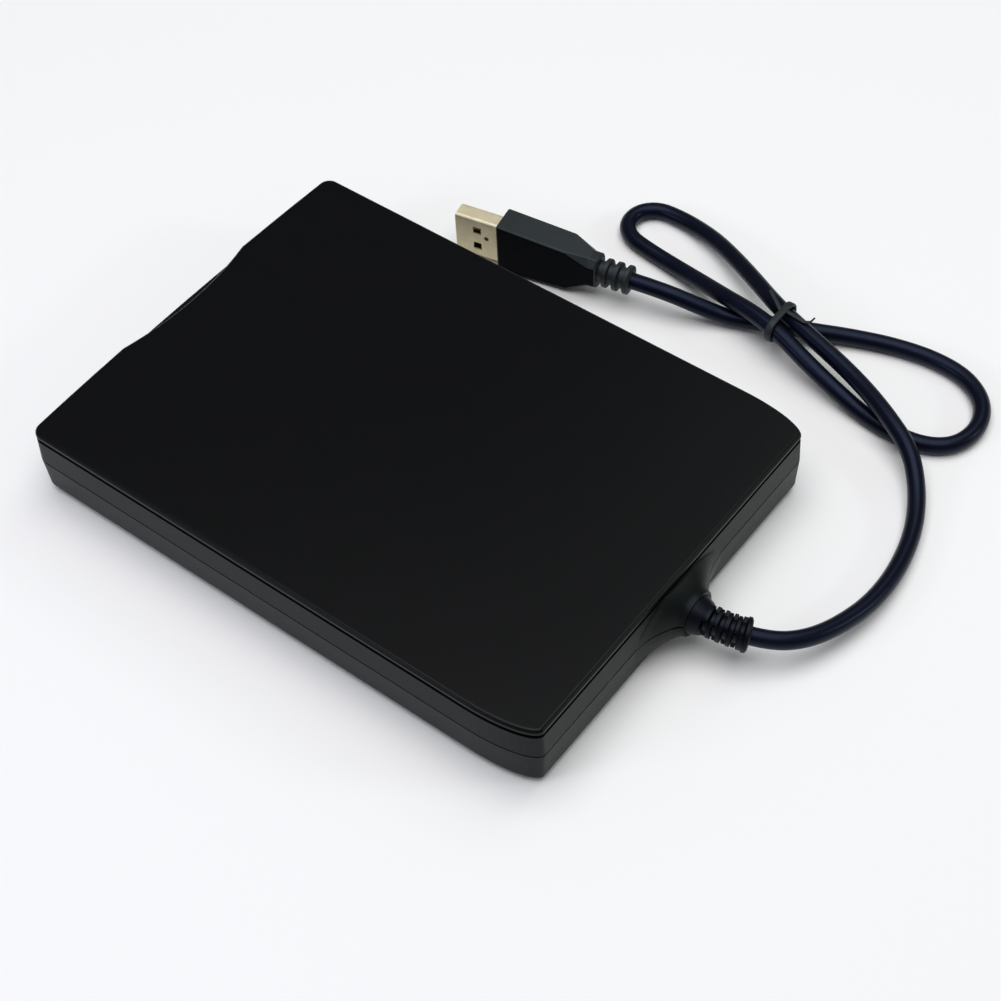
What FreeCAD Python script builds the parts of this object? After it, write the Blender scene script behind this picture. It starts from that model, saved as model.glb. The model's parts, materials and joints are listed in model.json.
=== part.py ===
"""Slim external 3.5 inch floppy disk drive with a captive USB lead.

Millimetres. +Z is up, the disk slot faces -Y and the lead leaves towards +Y.
The origin is on the table, under the middle of the housing.
"""
import FreeCAD
import Part
import math
import os

Vector = FreeCAD.Vector
up = Vector(0, 0, 1)
right = Vector(1, 0, 0)
back = Vector(0, 1, 0)

# The diskette that the drive takes
disk_width = 90.0
disk_length = 94.0
disk_thickness = 3.3
disk_hub_setback = 46.0          # from its leading edge to the middle of its hub

# Clearances
disk_side_gap = 0.3              # diskette to holder
slot_play = 1.0                  # slot height beyond the diskette
slide_gap = 0.3                  # between sliding sheet-metal parts
running_gap = 0.05               # shaft to bore
pin_slot_gap = 0.1               # guide pin to the side of its slot
fixed_gap = 0.02                 # seat of a part that does not move
seam_gap = 0.1                   # between moulded parts of the housing
button_gap = 0.25                # button to its hole

# Sheet and wall thicknesses
side_wall = 2.0
floor_thickness = 1.8
roof_thickness = 1.2
panel_thickness = 1.3
bezel_wall = 3.7                 # from the housing's nominal front to the back of the bezel
holder_sheet = 0.5
slider_sheet = 0.5
chassis_sheet = 0.8
chassis_wall = 0.6
board_thickness = 0.8

# Housing
length = 141.0
front_corner_radius = 3.2
rear_corner_width = 4.6          # the rear corners are quarter ellipses
rear_corner_length = 17.0
side_gap = 2.0                   # chassis to the inside of the housing
foot_height = 1.0
parting_height = 10.8
bottom_draft = 0.6               # walls draw in below and above the parting line
top_draft = 0.3
seam_groove_height = 0.4         # shadow line along the parting line
seam_groove_depth = 0.3
groove_height = 1.1              # shadow line under the top panel
groove_depth = 1.5
panel_edge_radius = 0.9
bottom_edge_radius = 1.5
bottom_edge_steps = 3            # straight steps that round the bottom edge
front_setback = 0.9              # front corners behind the nominal front
front_crown = 1.2                # bow of the front edge
recess_half_width = 20.5         # finger recess in the middle of the front
recess_depth = 2.4
tongue_thickness = 0.8           # upper shell's seam tongue
tongue_height = 1.5
foot_radius = 4.5
foot_seat_depth = 0.6
foot_inset_x = 9.5               # foot centre from the housing's side
foot_inset_y = 13.0              # foot centre from the housing's end
case_screw_inset_x = 7.5
case_screw_inset_y = 5.2
post_radius = 2.6
screw_radius = 1.0
screw_head_radius = 2.0
screw_head_height = 1.0
screw_hole_gap = 0.15
chassis_screw_inset = 6.5        # front screws from the boards' sides

# Boss at the back that the lead leaves through
end_reach = 4.6                  # beyond the housing's back and front walls
exit_height = 9.5
boss_root_half_width = 17.5
boss_root_half_height = 8.0
boss_tip_half_width = 5.4
boss_tip_half_height = 5.3
boss_wall_hole_radius = 4.6
boss_mouth_radius = 4.75
boss_mouth_depth = 4.0

# Strain relief
relief_flange_radius = 6.6
relief_flange_thickness = 1.5
relief_neck_radius = 4.5
relief_collar_end_radius = 3.55  # collar tapers to this beyond the boss
relief_core_radius = 2.9
relief_ring_radius = 3.65
relief_end_ring_radius = 3.9
relief_ring_width = 1.5
relief_ring_pitch = 2.4
relief_ring_count = 4
relief_neck_reach = 2.4          # collar beyond the boss
relief_bend_radius = 27.3
relief_side = Vector(-0.937, 0.0, -0.344)   # the way the relief droops, square to +Y

# Lead
cord_diameter = 4.1
cord_first_run = 5.0
cord_last_run = 8.5

# Plug
plug_root = Vector(-68.0, -28.2, 7.5)       # middle of the overmould's front face
plug_heading = 100.9                        # degrees from +X, from the plug's tip to its cord
plug_height = 15.0
plug_thickness = 7.6
plug_body_length = 26.5
plug_grip_length = 18.5
plug_grip_end_half_height = 6.3
plug_neck_length = 2.2
plug_waist_half_height = 4.9
plug_relief_end = 34.8
plug_relief_radius = 3.85
plug_relief_core_radius = 2.9
plug_relief_ring_count = 3
usb_width = 12.0
usb_height = 4.5
usb_reach = 11.9
usb_embed = 4.0
usb_sheet = 0.35
usb_corner_radius = 0.8
usb_tongue_thickness = 1.85
usb_window = 2.2
usb_window_setback = 6.0
usb_window_spread = 2.5

# Cable tie round the folded lead
tie_width = 2.2
tie_thickness = 0.7
tie_clearance = 0.6
tie_tail_radius = 0.7

# Disk slot, door and button
bezel_end_gap = 0.1
slot_side_gap = 0.7
door_thickness = 0.9
door_barrel_radius = 0.8
door_pin_radius = 0.5
door_gap = 0.3
door_side_gap = 0.3
door_overlap = 0.1               # door's lower edge below the slot
ear_thickness = 1.4
door_ear_gap = 0.6
spring_notch_half = 3.2
button_x = 31.0
button_width = 14.0
button_height = 4.4
button_bottom = 5.9
button_flange_rim = 0.95
button_flange_thickness = 1.2
eject_travel = 5.0
lens_x = -35.2
lens_width = 6.0
lens_height = 2.2
led_radius = 1.5
led_height = 8.0

# Disk holder
holder_drop = 2.0                # how far the holder lowers the diskette
holder_front_gap = 3.0           # diskette's trailing edge behind the holder's front
holder_rear_reach = 8.0          # behind the loaded diskette
holder_flange_width = 5.0
holder_pin_radius = 0.8
holder_pin_height = 1.7          # above the holder's floor
holder_pin_front_y = -40.0
holder_pin_rear_y = 10.0
holder_cutout_half = 11.0
lever_sheet = 0.5
lever_pivot_x = -38.0
lever_pivot_y = 36.0
lever_arm = 26.0
lever_rest_angle = -75.0
lever_swing = 63.0
lever_pin_radius = 1.0
lever_slot_half = 1.2

# Chassis
chassis_lift = 0.8
chassis_end_gap = 10.5           # chassis to the nominal ends of the housing
spring_x = 38.6
spring_height = 7.0
spring_radius = 1.0
spring_wire = 0.4
spring_turns = 7
spring_front_y = -14.0
spring_rear_y = 16.6
spring_tab_half = 1.7

# Spindle motor
spindle_y = -16.0
coil_count = 9
coil_height = 1.4
rotor_radius = 18.8
rotor_sheet = 0.8
rotor_skirt = 1.2
magnet_width = 1.9
hub_radius = 13.0
hub_thickness = 1.1
hub_nose_radius = 4.0
hub_nose_height = 0.9
shaft_radius = 1.96
bearing_radius = 3.0
bearing_flange_radius = 5.0
drive_pin_offset = 9.5
drive_pin_radius = 0.9

# Head carriage
head_rest_y = 23.5               # heads over the outermost track
head_travel = 14.8
rail_height = 7.0                # axes of the guide rod and the lead screw
rail_offset = 14.0
rod_radius = 1.1
lead_screw_radius = 1.0
arm_hinge_y = 49.0
arm_hinge_z = 12.8
arm_half_width = 4.5
arm_thickness = 0.6
arm_pin_radius = 0.5
arm_lift_angle = 8.8
arm_wing_reach = 13.4
motor_radius = 4.0
motor_length = 9.5

# Circuit boards
board_half_width = 36.5
board_front_gap = 6.5            # spindle board to the end of the chassis
board_rear_y = 8.0
side_board_inner_x = 20.0
side_board_end_gap = 0.2
board_gap = 4.0                  # between the spindle board and the controller board
usb_board_length = 29.8
switch_size = 4.0
switch_height = 3.1
plunger_radius = 0.8
plunger_height = 4.7             # plunger's top above its board
plunger_travel = 1.0

# Heights worked out from the stack of parts
floor_top = foot_height + floor_thickness
chassis_bottom = floor_top + chassis_lift
chassis_top = chassis_bottom + chassis_sheet
board_top = chassis_top + board_thickness
slider_floor = chassis_top + slide_gap
rotor_disc_bottom = board_top + coil_height + 0.6
hub_bottom = rotor_disc_bottom + rotor_sheet
hub_top = hub_bottom + hub_thickness
holder_floor_top = hub_top + holder_drop
slot_bottom = holder_floor_top + 0.1
slot_top = slot_bottom + disk_thickness + slot_play
holder_ceiling = slot_top + 0.1
holder_top = holder_ceiling + holder_sheet
lever_bottom = holder_top + 0.15
lever_top = lever_bottom + lever_sheet
roof_inner = lever_top + 0.25
panel_bottom = roof_inner + roof_thickness
height = panel_bottom + panel_thickness
wall_top = panel_bottom - groove_height
holder_pin_z = holder_floor_top + holder_pin_height
cheek_top = holder_pin_z + holder_pin_radius + 1.0

# Places across the drive
holder_inner_x = disk_width / 2 + disk_side_gap
holder_outer_x = holder_inner_x + holder_sheet
slider_inner_x = holder_outer_x + slide_gap
slider_outer_x = slider_inner_x + slider_sheet
chassis_inner_x = slider_outer_x + slide_gap
chassis_outer_x = chassis_inner_x + chassis_wall
half_width = chassis_outer_x + side_gap + side_wall

# Places along the drive
half_length = length / 2
chassis_half_length = half_length - chassis_end_gap
bezel_inner_y = -half_length + bezel_wall
door_axis_y = bezel_inner_y + door_gap + door_barrel_radius
door_axis_z = slot_top - 0.1
disk_front_y = spindle_y + disk_hub_setback - disk_length
disk_rear_y = spindle_y + disk_hub_setback
holder_front_y = disk_front_y + holder_front_gap
holder_rear_y = disk_rear_y + holder_rear_reach
button_tip_y = -half_length - end_reach
button_flange_y = bezel_inner_y + slide_gap + eject_travel
button_back_y = button_flange_y + button_flange_thickness
tab_y = button_back_y + slide_gap
slider_front_y = tab_y + slider_sheet
slider_rear_y = holder_pin_rear_y + 10.0
boss_tip_y = half_length + end_reach
motor_front_y = arm_hinge_y + 3.5
board_front_y = -chassis_half_length + board_front_gap
side_board_rear_y = chassis_half_length - side_board_end_gap

# Front bow and finger recess as arcs
bow_radius = (half_width ** 2 + front_crown ** 2) / (2 * front_crown)
bow_centre_y = -half_length + front_setback - front_crown + bow_radius
recess_radius = (recess_half_width ** 2 + recess_depth ** 2) / (2 * recess_depth)


def bow_y(x):
    """Y of the bowed front edge at a distance x from the middle."""
    return bow_centre_y - math.sqrt(bow_radius ** 2 - x ** 2)


recess_centre_y = bow_y(recess_half_width) + recess_depth - recess_radius

# Lead's route between the strain relief and the plug, chosen by hand
cord_route = [
    (-9.8, 96.2, 6.8), (-17.6, 99.4, 5.4), (-28.0, 101.5, 4.0), (-40.0, 101.0, 3.0),
    (-52.0, 98.0, 2.3), (-61.5, 93.0, 3.4), (-68.0, 87.0, 6.0), (-73.0, 78.0, 7.1),
    (-78.0, 68.5, 6.7), (-81.5, 58.5, 7.1), (-84.5, 47.5, 7.8), (-87.7, 38.5, 7.8),
    (-93.0, 29.5, 6.2), (-97.5, 21.0, 5.0), (-101.3, 13.0, 3.7), (-103.6, 5.5, 2.5),
    (-104.3, -0.6, 2.1), (-103.8, -6.2, 2.1), (-100.1, -9.9, 2.1), (-94.9, -9.9, 2.1),
    (-91.4, -6.2, 2.1), (-90.3, -0.2, 2.1), (-89.5, 6.2, 2.1), (-88.1, 13.2, 3.0),
    (-86.0, 20.0, 4.8), (-83.6, 27.5, 6.8), (-82.2, 35.5, 7.8), (-80.0, 44.5, 7.8),
    (-77.4, 53.5, 6.1), (-75.8, 62.0, 4.0), (-74.3, 70.5, 2.3), (-73.1, 79.0, 2.1),
    (-73.9, 87.3, 2.1), (-77.8, 93.2, 2.1), (-85.3, 95.2, 2.1), (-92.9, 92.5, 2.1),
    (-97.9, 85.5, 2.1), (-98.9, 76.2, 2.1), (-97.1, 66.0, 2.1), (-93.4, 56.0, 2.3),
    (-88.2, 47.0, 3.5), (-84.6, 38.0, 3.5), (-81.9, 29.8, 2.5), (-79.0, 22.6, 4.9),
]
tie_y = 43.0
tie_strands = [(-86.15, 7.77), (-80.6, 7.77), (-86.55, 3.47)]   # X and Z of the three strands at the tie
tie_tail_tip = Vector(-86.2, 37.2, 13.4)


# ---------------------------------------------------------------- shapes

def box(x, y, z):
    """Block between two corners, each side given as (low, high)."""
    return Part.makeBox(x[1] - x[0], y[1] - y[0], z[1] - z[0], Vector(x[0], y[0], z[0]))


def bar(start, end, radius):
    """Round bar between two points."""
    way = Vector(*end) - Vector(*start)
    return Part.makeCylinder(radius, way.Length, Vector(*start), way)


def disc(x, y, radius, z):
    """Upright cylinder from z[0] to z[1]."""
    return Part.makeCylinder(radius, z[1] - z[0], Vector(x, y, z[0]))


def ring(x, y, outer, inner, z):
    """Upright ring."""
    return disc(x, y, outer, z).cut(disc(x, y, inner, (z[0] - 1, z[1] + 1)))


def fuse(shapes):
    """One solid from touching shapes."""
    return shapes[0].multiFuse(shapes[1:]).removeSplitter()


def cut(shape, tools):
    """A shape less several others."""
    return shape.cut(Part.makeCompound(tools))


def upright_edges(shape):
    """Edges that stand along Z."""
    found = []
    for edge in shape.Edges:
        if len(edge.Vertexes) == 2:
            way = edge.Vertexes[1].Point - edge.Vertexes[0].Point
            if way.Length > 0.01 and abs(way.normalize().dot(up)) > 0.999:
                found.append(edge)
    return found


def level_edges(shape, z):
    """Edges that lie in the plane at height z."""
    return [edge for edge in shape.Edges
            if abs(edge.BoundBox.ZMin - z) < 1e-4 and abs(edge.BoundBox.ZMax - z) < 1e-4]


def rounded_block(x, y, z, radius):
    """Block with rounded upright edges."""
    block = box(x, y, z)
    return block.makeFillet(radius, upright_edges(block))


def side_slot(start, end, radius, x):
    """Round-ended slot cutter across X; start and end are (y, z) of its end centres."""
    low = Vector(x[0], start[0], start[1])
    high = Vector(x[0], end[0], end[1])
    way = (high - low).normalize()
    off = right.cross(way) * radius
    corners = [low + off, high + off, high - off, low - off, low + off]
    middle = Part.Face(Part.makePolygon(corners)).extrude(right * (x[1] - x[0]))
    ends = [bar((x[0],) + point, (x[1],) + point, radius) for point in (start, end)]
    return fuse([middle] + ends)


def soft_tube(points, radius, report=None):
    """Tube along straight runs joined by tangent arcs, each as large as its two runs allow."""
    edges = []
    radii = []
    here = points[0]
    for before, corner, after in zip(points, points[1:], points[2:]):
        inward = before - corner
        onward = after - corner
        run = min(inward.Length, onward.Length)
        half_turn = (math.pi - inward.getAngle(onward)) / 2
        setback = 0.45 * run
        arc_radius = setback / math.tan(half_turn)
        radii.append(arc_radius)
        start = corner + inward.normalize() * setback
        finish = corner + onward.normalize() * setback
        centre_way = (inward + onward).normalize()
        middle = corner + centre_way * (arc_radius / math.cos(half_turn) - arc_radius)
        edges.append(Part.LineSegment(here, start).toShape())
        edges.append(Part.Arc(start, middle, finish).toShape())
        here = finish
    edges.append(Part.LineSegment(here, points[-1]).toShape())
    path = Part.Wire(edges)
    section = Part.Wire(Part.makeCircle(radius, points[0], points[1] - points[0]))
    solid = path.makePipeShell([section], True, True)
    if report:
        ideal = math.pi * radius ** 2 * path.Length
        print(report, "length %.1f" % path.Length, "volume / ideal %.4f" % (solid.Volume / ideal))
        print(report, "radii", " ".join("%.1f" % value for value in radii))
    return solid


def coil(bottom, axis, mean_radius, wire, turns, reach, start_angle=0):
    """Coil spring of square wire, from bottom along an axis."""
    helix = Part.makeHelix(reach / turns, reach, mean_radius)
    half = wire / 2
    corners = [Vector(mean_radius - half, 0, -half), Vector(mean_radius + half, 0, -half),
               Vector(mean_radius + half, 0, half), Vector(mean_radius - half, 0, half)]
    section = Part.makePolygon(corners + corners[:1])
    solid = Part.Wire(helix).makePipeShell([section], True, True)
    turned = FreeCAD.Rotation(up, axis).multiply(FreeCAD.Rotation(up, start_angle))
    solid.Placement = FreeCAD.Placement(bottom, turned)
    return solid


# ---------------------------------------------------------------- housing

def draft_inset(z):
    """How far the drafted outer walls have drawn in at a height."""
    if z < parting_height:
        return bottom_draft * (parting_height - z) / (parting_height - foot_height)
    return top_draft * (z - parting_height) / (wall_top - parting_height)


def plan_wire(inset, z):
    """The housing's plan outline at a height, inset evenly."""
    x = half_width - inset
    rear = half_length - inset
    radius = max(front_corner_radius - inset, 0.4)
    bow = bow_radius - inset
    centre = Vector(0, bow_centre_y, z)
    corner_y = bow_centre_y - math.sqrt((bow - radius) ** 2 - (x - radius) ** 2)
    reach = rear_corner_length - inset
    width = rear_corner_width - inset
    edges = []
    joins = []
    for side in (-1, 1):
        corner = Vector(side * (x - radius), corner_y, z)
        join = centre + (corner - centre) * (bow / (bow - radius))
        side_end = corner + right * side * radius
        bulge = ((join - corner) + (side_end - corner)).normalize() * radius
        ellipse_centre = Vector(side * (x - width), rear - reach, z)
        side_top = ellipse_centre + right * side * width
        ellipse = Part.Ellipse(ellipse_centre + back * reach, side_top, ellipse_centre)
        edges.append(Part.Arc(join, corner + bulge, side_end).toShape())
        edges.append(Part.LineSegment(side_end, side_top).toShape())
        edges.append(Part.ArcOfEllipse(ellipse, 0, math.pi / 2).toShape())
        joins.append(join)
    edges.append(Part.Arc(joins[0], centre - back * bow, joins[1]).toShape())
    edges.append(Part.LineSegment(Vector(-x + width, rear, z), Vector(x - width, rear, z)).toShape())
    return Part.Wire(Part.sortEdges(edges)[0])


def recess_slice(low, high):
    """Round cutter for the finger recess between two (inset, z) pairs."""
    foot = Vector(0, recess_centre_y, low[1])
    if abs(high[0] - low[0]) < 1e-6:
        return Part.makeCylinder(recess_radius + low[0], high[1] - low[1], foot)
    return Part.makeCone(recess_radius + low[0], recess_radius + high[0], high[1] - low[1], foot)


def plan_prism(inset, low, high, recessed=True):
    """The housing's plan outline, inset evenly, between two heights."""
    solid = Part.Face(plan_wire(inset, low)).extrude(up * (high - low))
    if recessed:
        solid = solid.cut(recess_slice((inset, low - 1), (inset, high + 1)))
    return solid


def plan_loft(sections):
    """The housing's recessed plan outline, lofted through (inset, z) pairs."""
    solids = []
    for low, high in zip(sections, sections[1:]):
        layer = Part.makeLoft([plan_wire(*low), plan_wire(*high)], True, True)
        solids.append(layer.cut(recess_slice(low, high)))
    return fuse(solids)


def boss_shell(inset=0.0):
    """Flared boss round the lead, from the back wall to its tip."""
    steps = [(-0.8, 1.0, 1.0), (0.5, 0.60, 0.78), (1.3, 0.40, 0.56),
             (2.2, 0.24, 0.33), (3.3, 0.08, 0.11), (end_reach, 0.0, 0.0)]
    sections = []
    for offset, width_share, height_share in steps:
        half_x = boss_tip_half_width + (boss_root_half_width - boss_tip_half_width) * width_share
        half_z = boss_tip_half_height + (boss_root_half_height - boss_tip_half_height) * height_share
        centre = Vector(0, half_length + offset, exit_height)
        ellipse = Part.Ellipse(centre + right * (half_x - inset), centre + up * (half_z - inset), centre)
        sections.append(Part.Wire(ellipse.toShape()))
    return Part.makeLoft(sections, True, False)


def boss_bores():
    """Hole through the back wall and the wider mouth in the boss."""
    inner = half_length - side_wall - 1
    hole = bar((0, inner, exit_height), (0, boss_tip_y + 1, exit_height), boss_wall_hole_radius)
    mouth = bar((0, boss_tip_y - boss_mouth_depth, exit_height),
                (0, boss_tip_y + 1, exit_height), boss_mouth_radius)
    return [hole, mouth]


def window_cutter(low, high):
    """Opening in the front wall that the bezel closes."""
    return box((-chassis_outer_x - seam_gap, chassis_outer_x + seam_gap),
               (-half_length - 10, bezel_inner_y + seam_gap), (low, high))


def case_screw_places():
    """Plan centres of the two case screws."""
    x = half_width - case_screw_inset_x
    y = half_length - case_screw_inset_y
    return [(-x, y), (x, y)]


def foot_places():
    """Plan centres of the four feet."""
    x = half_width - foot_inset_x
    y = half_length - foot_inset_y
    return [(-x, -y), (x, -y), (-x, y - 4), (x, y - 4)]


def chassis_screw_places():
    """Plan centres of the four screws that hold the chassis and the boards."""
    front_x = board_half_width - chassis_screw_inset
    front_y = board_front_y + 4.5
    rear_y = side_board_rear_y - 3.8
    return [(-front_x, front_y), (front_x, front_y),
            (-side_board_inner_x - 8.0, rear_y), (board_half_width - 2.5, rear_y)]


def lower_shell():
    """Tray of the housing, with its posts, screw bosses and half of the cable boss."""
    rim_bottom = parting_height - seam_groove_height
    sections = []
    for step in range(bottom_edge_steps + 1):
        turn = math.pi / 2 * step / bottom_edge_steps
        z = foot_height + bottom_edge_radius * (1 - math.cos(turn))
        sections.append((draft_inset(z) + bottom_edge_radius * (1 - math.sin(turn)), z))
    sections.append((draft_inset(rim_bottom), rim_bottom))
    outer = fuse([plan_loft(sections), plan_prism(seam_groove_depth, rim_bottom, parting_height)])
    cavity = plan_prism(side_wall, floor_top, parting_height + 1, recessed=False)
    rebate_inset = side_wall - tongue_thickness - seam_gap
    rebate = plan_prism(rebate_inset, parting_height - tongue_height - seam_gap,
                        parting_height + 1, recessed=False)
    tray = cut(outer, [cavity, rebate, window_cutter(floor_top, parting_height + 1)])
    wide = half_width + 10
    below = box((-wide, wide), (0, half_length + 20), (foot_height, rim_bottom))
    rim = box((-wide, wide), (0, half_length + 20), (rim_bottom, parting_height))
    boss = boss_shell().common(below).cut(cavity)
    boss_rim = boss_shell(seam_groove_depth).common(rim).cut(cavity)
    solids = [tray, boss, boss_rim]
    cuts = boss_bores()
    for x, y in case_screw_places():
        solids.append(disc(x, y, post_radius, (floor_top - 0.1, parting_height - seam_gap)))
        cuts.append(disc(x, y, screw_radius + screw_hole_gap, (0, parting_height)))
        cuts.append(disc(x, y, screw_head_radius + screw_hole_gap, (0, foot_height + screw_head_height)))
    for x, y in chassis_screw_places():
        solids.append(disc(x, y, post_radius, (floor_top - 0.1, chassis_bottom)))
        cuts.append(disc(x, y, screw_radius + fixed_gap, (foot_height + 0.5, chassis_bottom + 1)))
    for x, y in foot_places():
        cuts.append(disc(x, y, foot_radius + seam_gap, (0, foot_height + foot_seat_depth)))
    return cut(fuse(solids), cuts)


def upper_shell():
    """Cover of the housing: walls, plinth under the panel, roof, tongue and posts."""
    walls = plan_loft([(0, parting_height), (top_draft, wall_top)])
    plinth = plan_prism(groove_depth, wall_top, panel_bottom)
    outer = fuse([walls, plinth])
    cavity = plan_prism(side_wall, parting_height - 3, roof_inner, recessed=False)
    shell = outer.cut(cavity)
    tongue = plan_prism(side_wall - tongue_thickness, parting_height - tongue_height,
                        parting_height + 1, recessed=False).cut(cavity)
    wide = half_width + 10
    upper_half = box((-wide, wide), (0, half_length + 20), (parting_height, wall_top))
    boss = boss_shell().common(upper_half).cut(cavity)
    solids = [shell, tongue, boss]
    cuts = boss_bores()
    cuts.append(window_cutter(parting_height - 3, roof_inner))
    for x, y in case_screw_places():
        solids.append(disc(x, y, post_radius, (parting_height, roof_inner + 0.1)))
        cuts.append(disc(x, y, screw_radius + fixed_gap, (parting_height - 1, roof_inner - 2)))
    arm_pocket_top = roof_inner + roof_thickness / 2
    cuts.append(box((-8, 8), (head_rest_y - head_travel - 4.7, head_rest_y + 6.5),
                    (roof_inner - 1, arm_pocket_top)))
    return cut(fuse(solids), cuts)


def top_panel():
    """Thin cover plate with rounded edges, over the shadow line."""
    plate = plan_prism(top_draft, panel_bottom, height)
    return plate.makeFillet(panel_edge_radius, level_edges(plate, height))


def rubber_feet():
    """Four round pads, sunk into the floor of the tray."""
    pads = []
    for x, y in foot_places():
        pad = disc(x, y, foot_radius, (0, foot_height + foot_seat_depth))
        pads.append(pad.makeChamfer(0.3, level_edges(pad, 0)))
    return Part.makeCompound(pads)


def case_screws():
    """Two screws that clamp the shells at the back."""
    screws = []
    for x, y in case_screw_places():
        head_top = foot_height + screw_head_height
        head = disc(x, y, screw_head_radius, (foot_height + 0.1, head_top))
        shank = disc(x, y, screw_radius, (head_top - 0.1, roof_inner - 2.5))
        screws.append(fuse([head, shank]))
    return Part.makeCompound(screws)


# ---------------------------------------------------------------- front

slot_half_width = disk_width / 2 + slot_side_gap
door_half_width = slot_half_width - door_side_gap
button_x_range = (button_x - button_width / 2, button_x + button_width / 2)
button_z_range = (button_bottom, button_bottom + button_height)


def grown(span, rim):
    """A (low, high) pair made larger at both ends."""
    return (span[0] - rim, span[1] + rim)


def front_bezel():
    """Front frame with the disk slot, the button and lens holes and the door's ears."""
    low = floor_top + bezel_end_gap
    high = roof_inner - bezel_end_gap
    half = chassis_outer_x
    front = (-half_length - 5, bezel_inner_y)
    form = plan_loft([(draft_inset(low), low), (0, parting_height), (draft_inset(high), high)])
    face = form.common(box((-half, half), front, (low, high)))
    inner = plan_prism(side_wall + seam_gap, low, high, recessed=False)
    wings = []
    for side in (-1, 1):
        span = sorted((side * (half - 1.5), side * (half + side_gap)))
        wings.append(inner.common(box(span, (-half_length, bezel_inner_y), (low, high))))
    ears = []
    ear_inner = door_half_width + door_ear_gap
    for side in (-1, 1):
        span = sorted((side * ear_inner, side * (ear_inner + ear_thickness)))
        ear_back = door_axis_y + door_barrel_radius + 0.3
        ears.append(box(span, (bezel_inner_y - 0.1, ear_back), (door_axis_z - 1.9, door_axis_z + 1.0)))
    body = fuse([face] + wings + ears)
    slot = box((-slot_half_width, slot_half_width), front, (slot_bottom, slot_top))
    lips = []
    for level, way in ((slot_bottom, -1), (slot_top, 1)):
        profile = [Vector(0, bow_y(0) - 1, level + way * 1.2), Vector(0, bow_y(0) + 3.6, level),
                   Vector(0, bow_y(0) - 1, level), Vector(0, bow_y(0) - 1, level + way * 1.2)]
        wedge = Part.Face(Part.makePolygon(profile)).extrude(right * 2 * recess_half_width)
        wedge.translate(Vector(-recess_half_width, 0, 0))
        lips.append(wedge)
    hole = box(grown(button_x_range, button_gap), front, grown(button_z_range, button_gap))
    lens = box(grown((lens_x - lens_width / 2, lens_x + lens_width / 2), fixed_gap), front,
               grown((led_height - lens_height / 2, led_height + lens_height / 2), fixed_gap))
    pivot = bar((-half - 1, door_axis_y, door_axis_z), (half + 1, door_axis_y, door_axis_z),
                door_pin_radius + running_gap)
    return cut(body, [slot, hole, lens, pivot] + lips)


def slot_door():
    """Flap behind the slot, hung from a barrel with two end pins and a spring notch."""
    bottom = slot_bottom - door_overlap
    back_face = (door_axis_y - door_thickness / 2, door_axis_y + door_thickness / 2)
    plate = box((-door_half_width, door_half_width), back_face, (bottom, door_axis_z))
    barrel = bar((-door_half_width, door_axis_y, door_axis_z),
                 (door_half_width, door_axis_y, door_axis_z), door_barrel_radius)
    notch = box((-spring_notch_half, spring_notch_half),
                (door_axis_y - 1.5, door_axis_y + 1.5),
                (door_axis_z - door_barrel_radius - 0.2, door_axis_z + 1.5))
    reach = door_half_width + door_ear_gap + ear_thickness - 0.3
    pin = bar((-reach, door_axis_y, door_axis_z), (reach, door_axis_y, door_axis_z), door_pin_radius)
    middle = box((-spring_notch_half - 1, spring_notch_half + 1),
                 (door_axis_y - 1, door_axis_y + 1), (door_axis_z - 1, door_axis_z + 1))
    return fuse([fuse([plate, barrel]).cut(notch), pin.cut(middle),
                 bar((-spring_notch_half - 1, door_axis_y, door_axis_z),
                     (spring_notch_half + 1, door_axis_y, door_axis_z), 0.35)])


def door_spring():
    """Torsion spring in the door's notch, one leg on the bezel and one on the flap."""
    wire = 0.25
    mean = 0.6
    turns = 5.75
    reach = 4.2
    winding = coil(Vector(-reach / 2, door_axis_y, door_axis_z), right, mean, wire, turns, reach, 180)
    top = door_axis_z + mean
    fixed_leg = box((-reach / 2 - wire / 2, -reach / 2 + wire / 2),
                    (bezel_inner_y + 0.05, door_axis_y), (top - wire / 2, top + wire / 2))
    flap_leg = box((reach / 2 - wire / 2, reach / 2 + wire / 2),
                   (door_axis_y + mean - wire / 2, door_axis_y + mean + wire / 2),
                   (door_axis_z - 2.4, door_axis_z))
    return fuse([winding, fixed_leg, flap_leg])


def eject_button():
    """Rectangular push button with a stop flange and a socket for the slider's tongue."""
    stem = box(button_x_range, (button_tip_y, button_flange_y + 0.1), button_z_range)
    front_edges = [edge for edge in stem.Edges if edge.BoundBox.YMax < button_tip_y + 0.01]
    stem = stem.makeFillet(0.6, front_edges)
    flange = box(grown(button_x_range, button_flange_rim), (button_flange_y, button_back_y),
                 (button_bottom - 0.9, button_bottom + button_height + 0.6))
    socket = box(grown(tongue_x_range, running_gap), (tongue_tip_y - 0.1, button_back_y + 1),
                 grown(tongue_z_range, running_gap))
    return fuse([stem, flange]).cut(socket)


tongue_x_range = (button_x - 2.5, button_x + 2.5)
tongue_z_range = (led_height - slider_sheet / 2, led_height + slider_sheet / 2)
tongue_tip_y = tab_y - 6.0


def led_lens():
    """Light pipe in the bezel."""
    front = bow_y(lens_x)
    span = (lens_x - lens_width / 2, lens_x + lens_width / 2)
    pipe = box(span, (front - 0.05, bezel_inner_y + 0.6),
               (led_height - lens_height / 2, led_height + lens_height / 2))
    return pipe.makeFillet(0.25, [edge for edge in pipe.Edges if edge.BoundBox.YMax < front])


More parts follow.
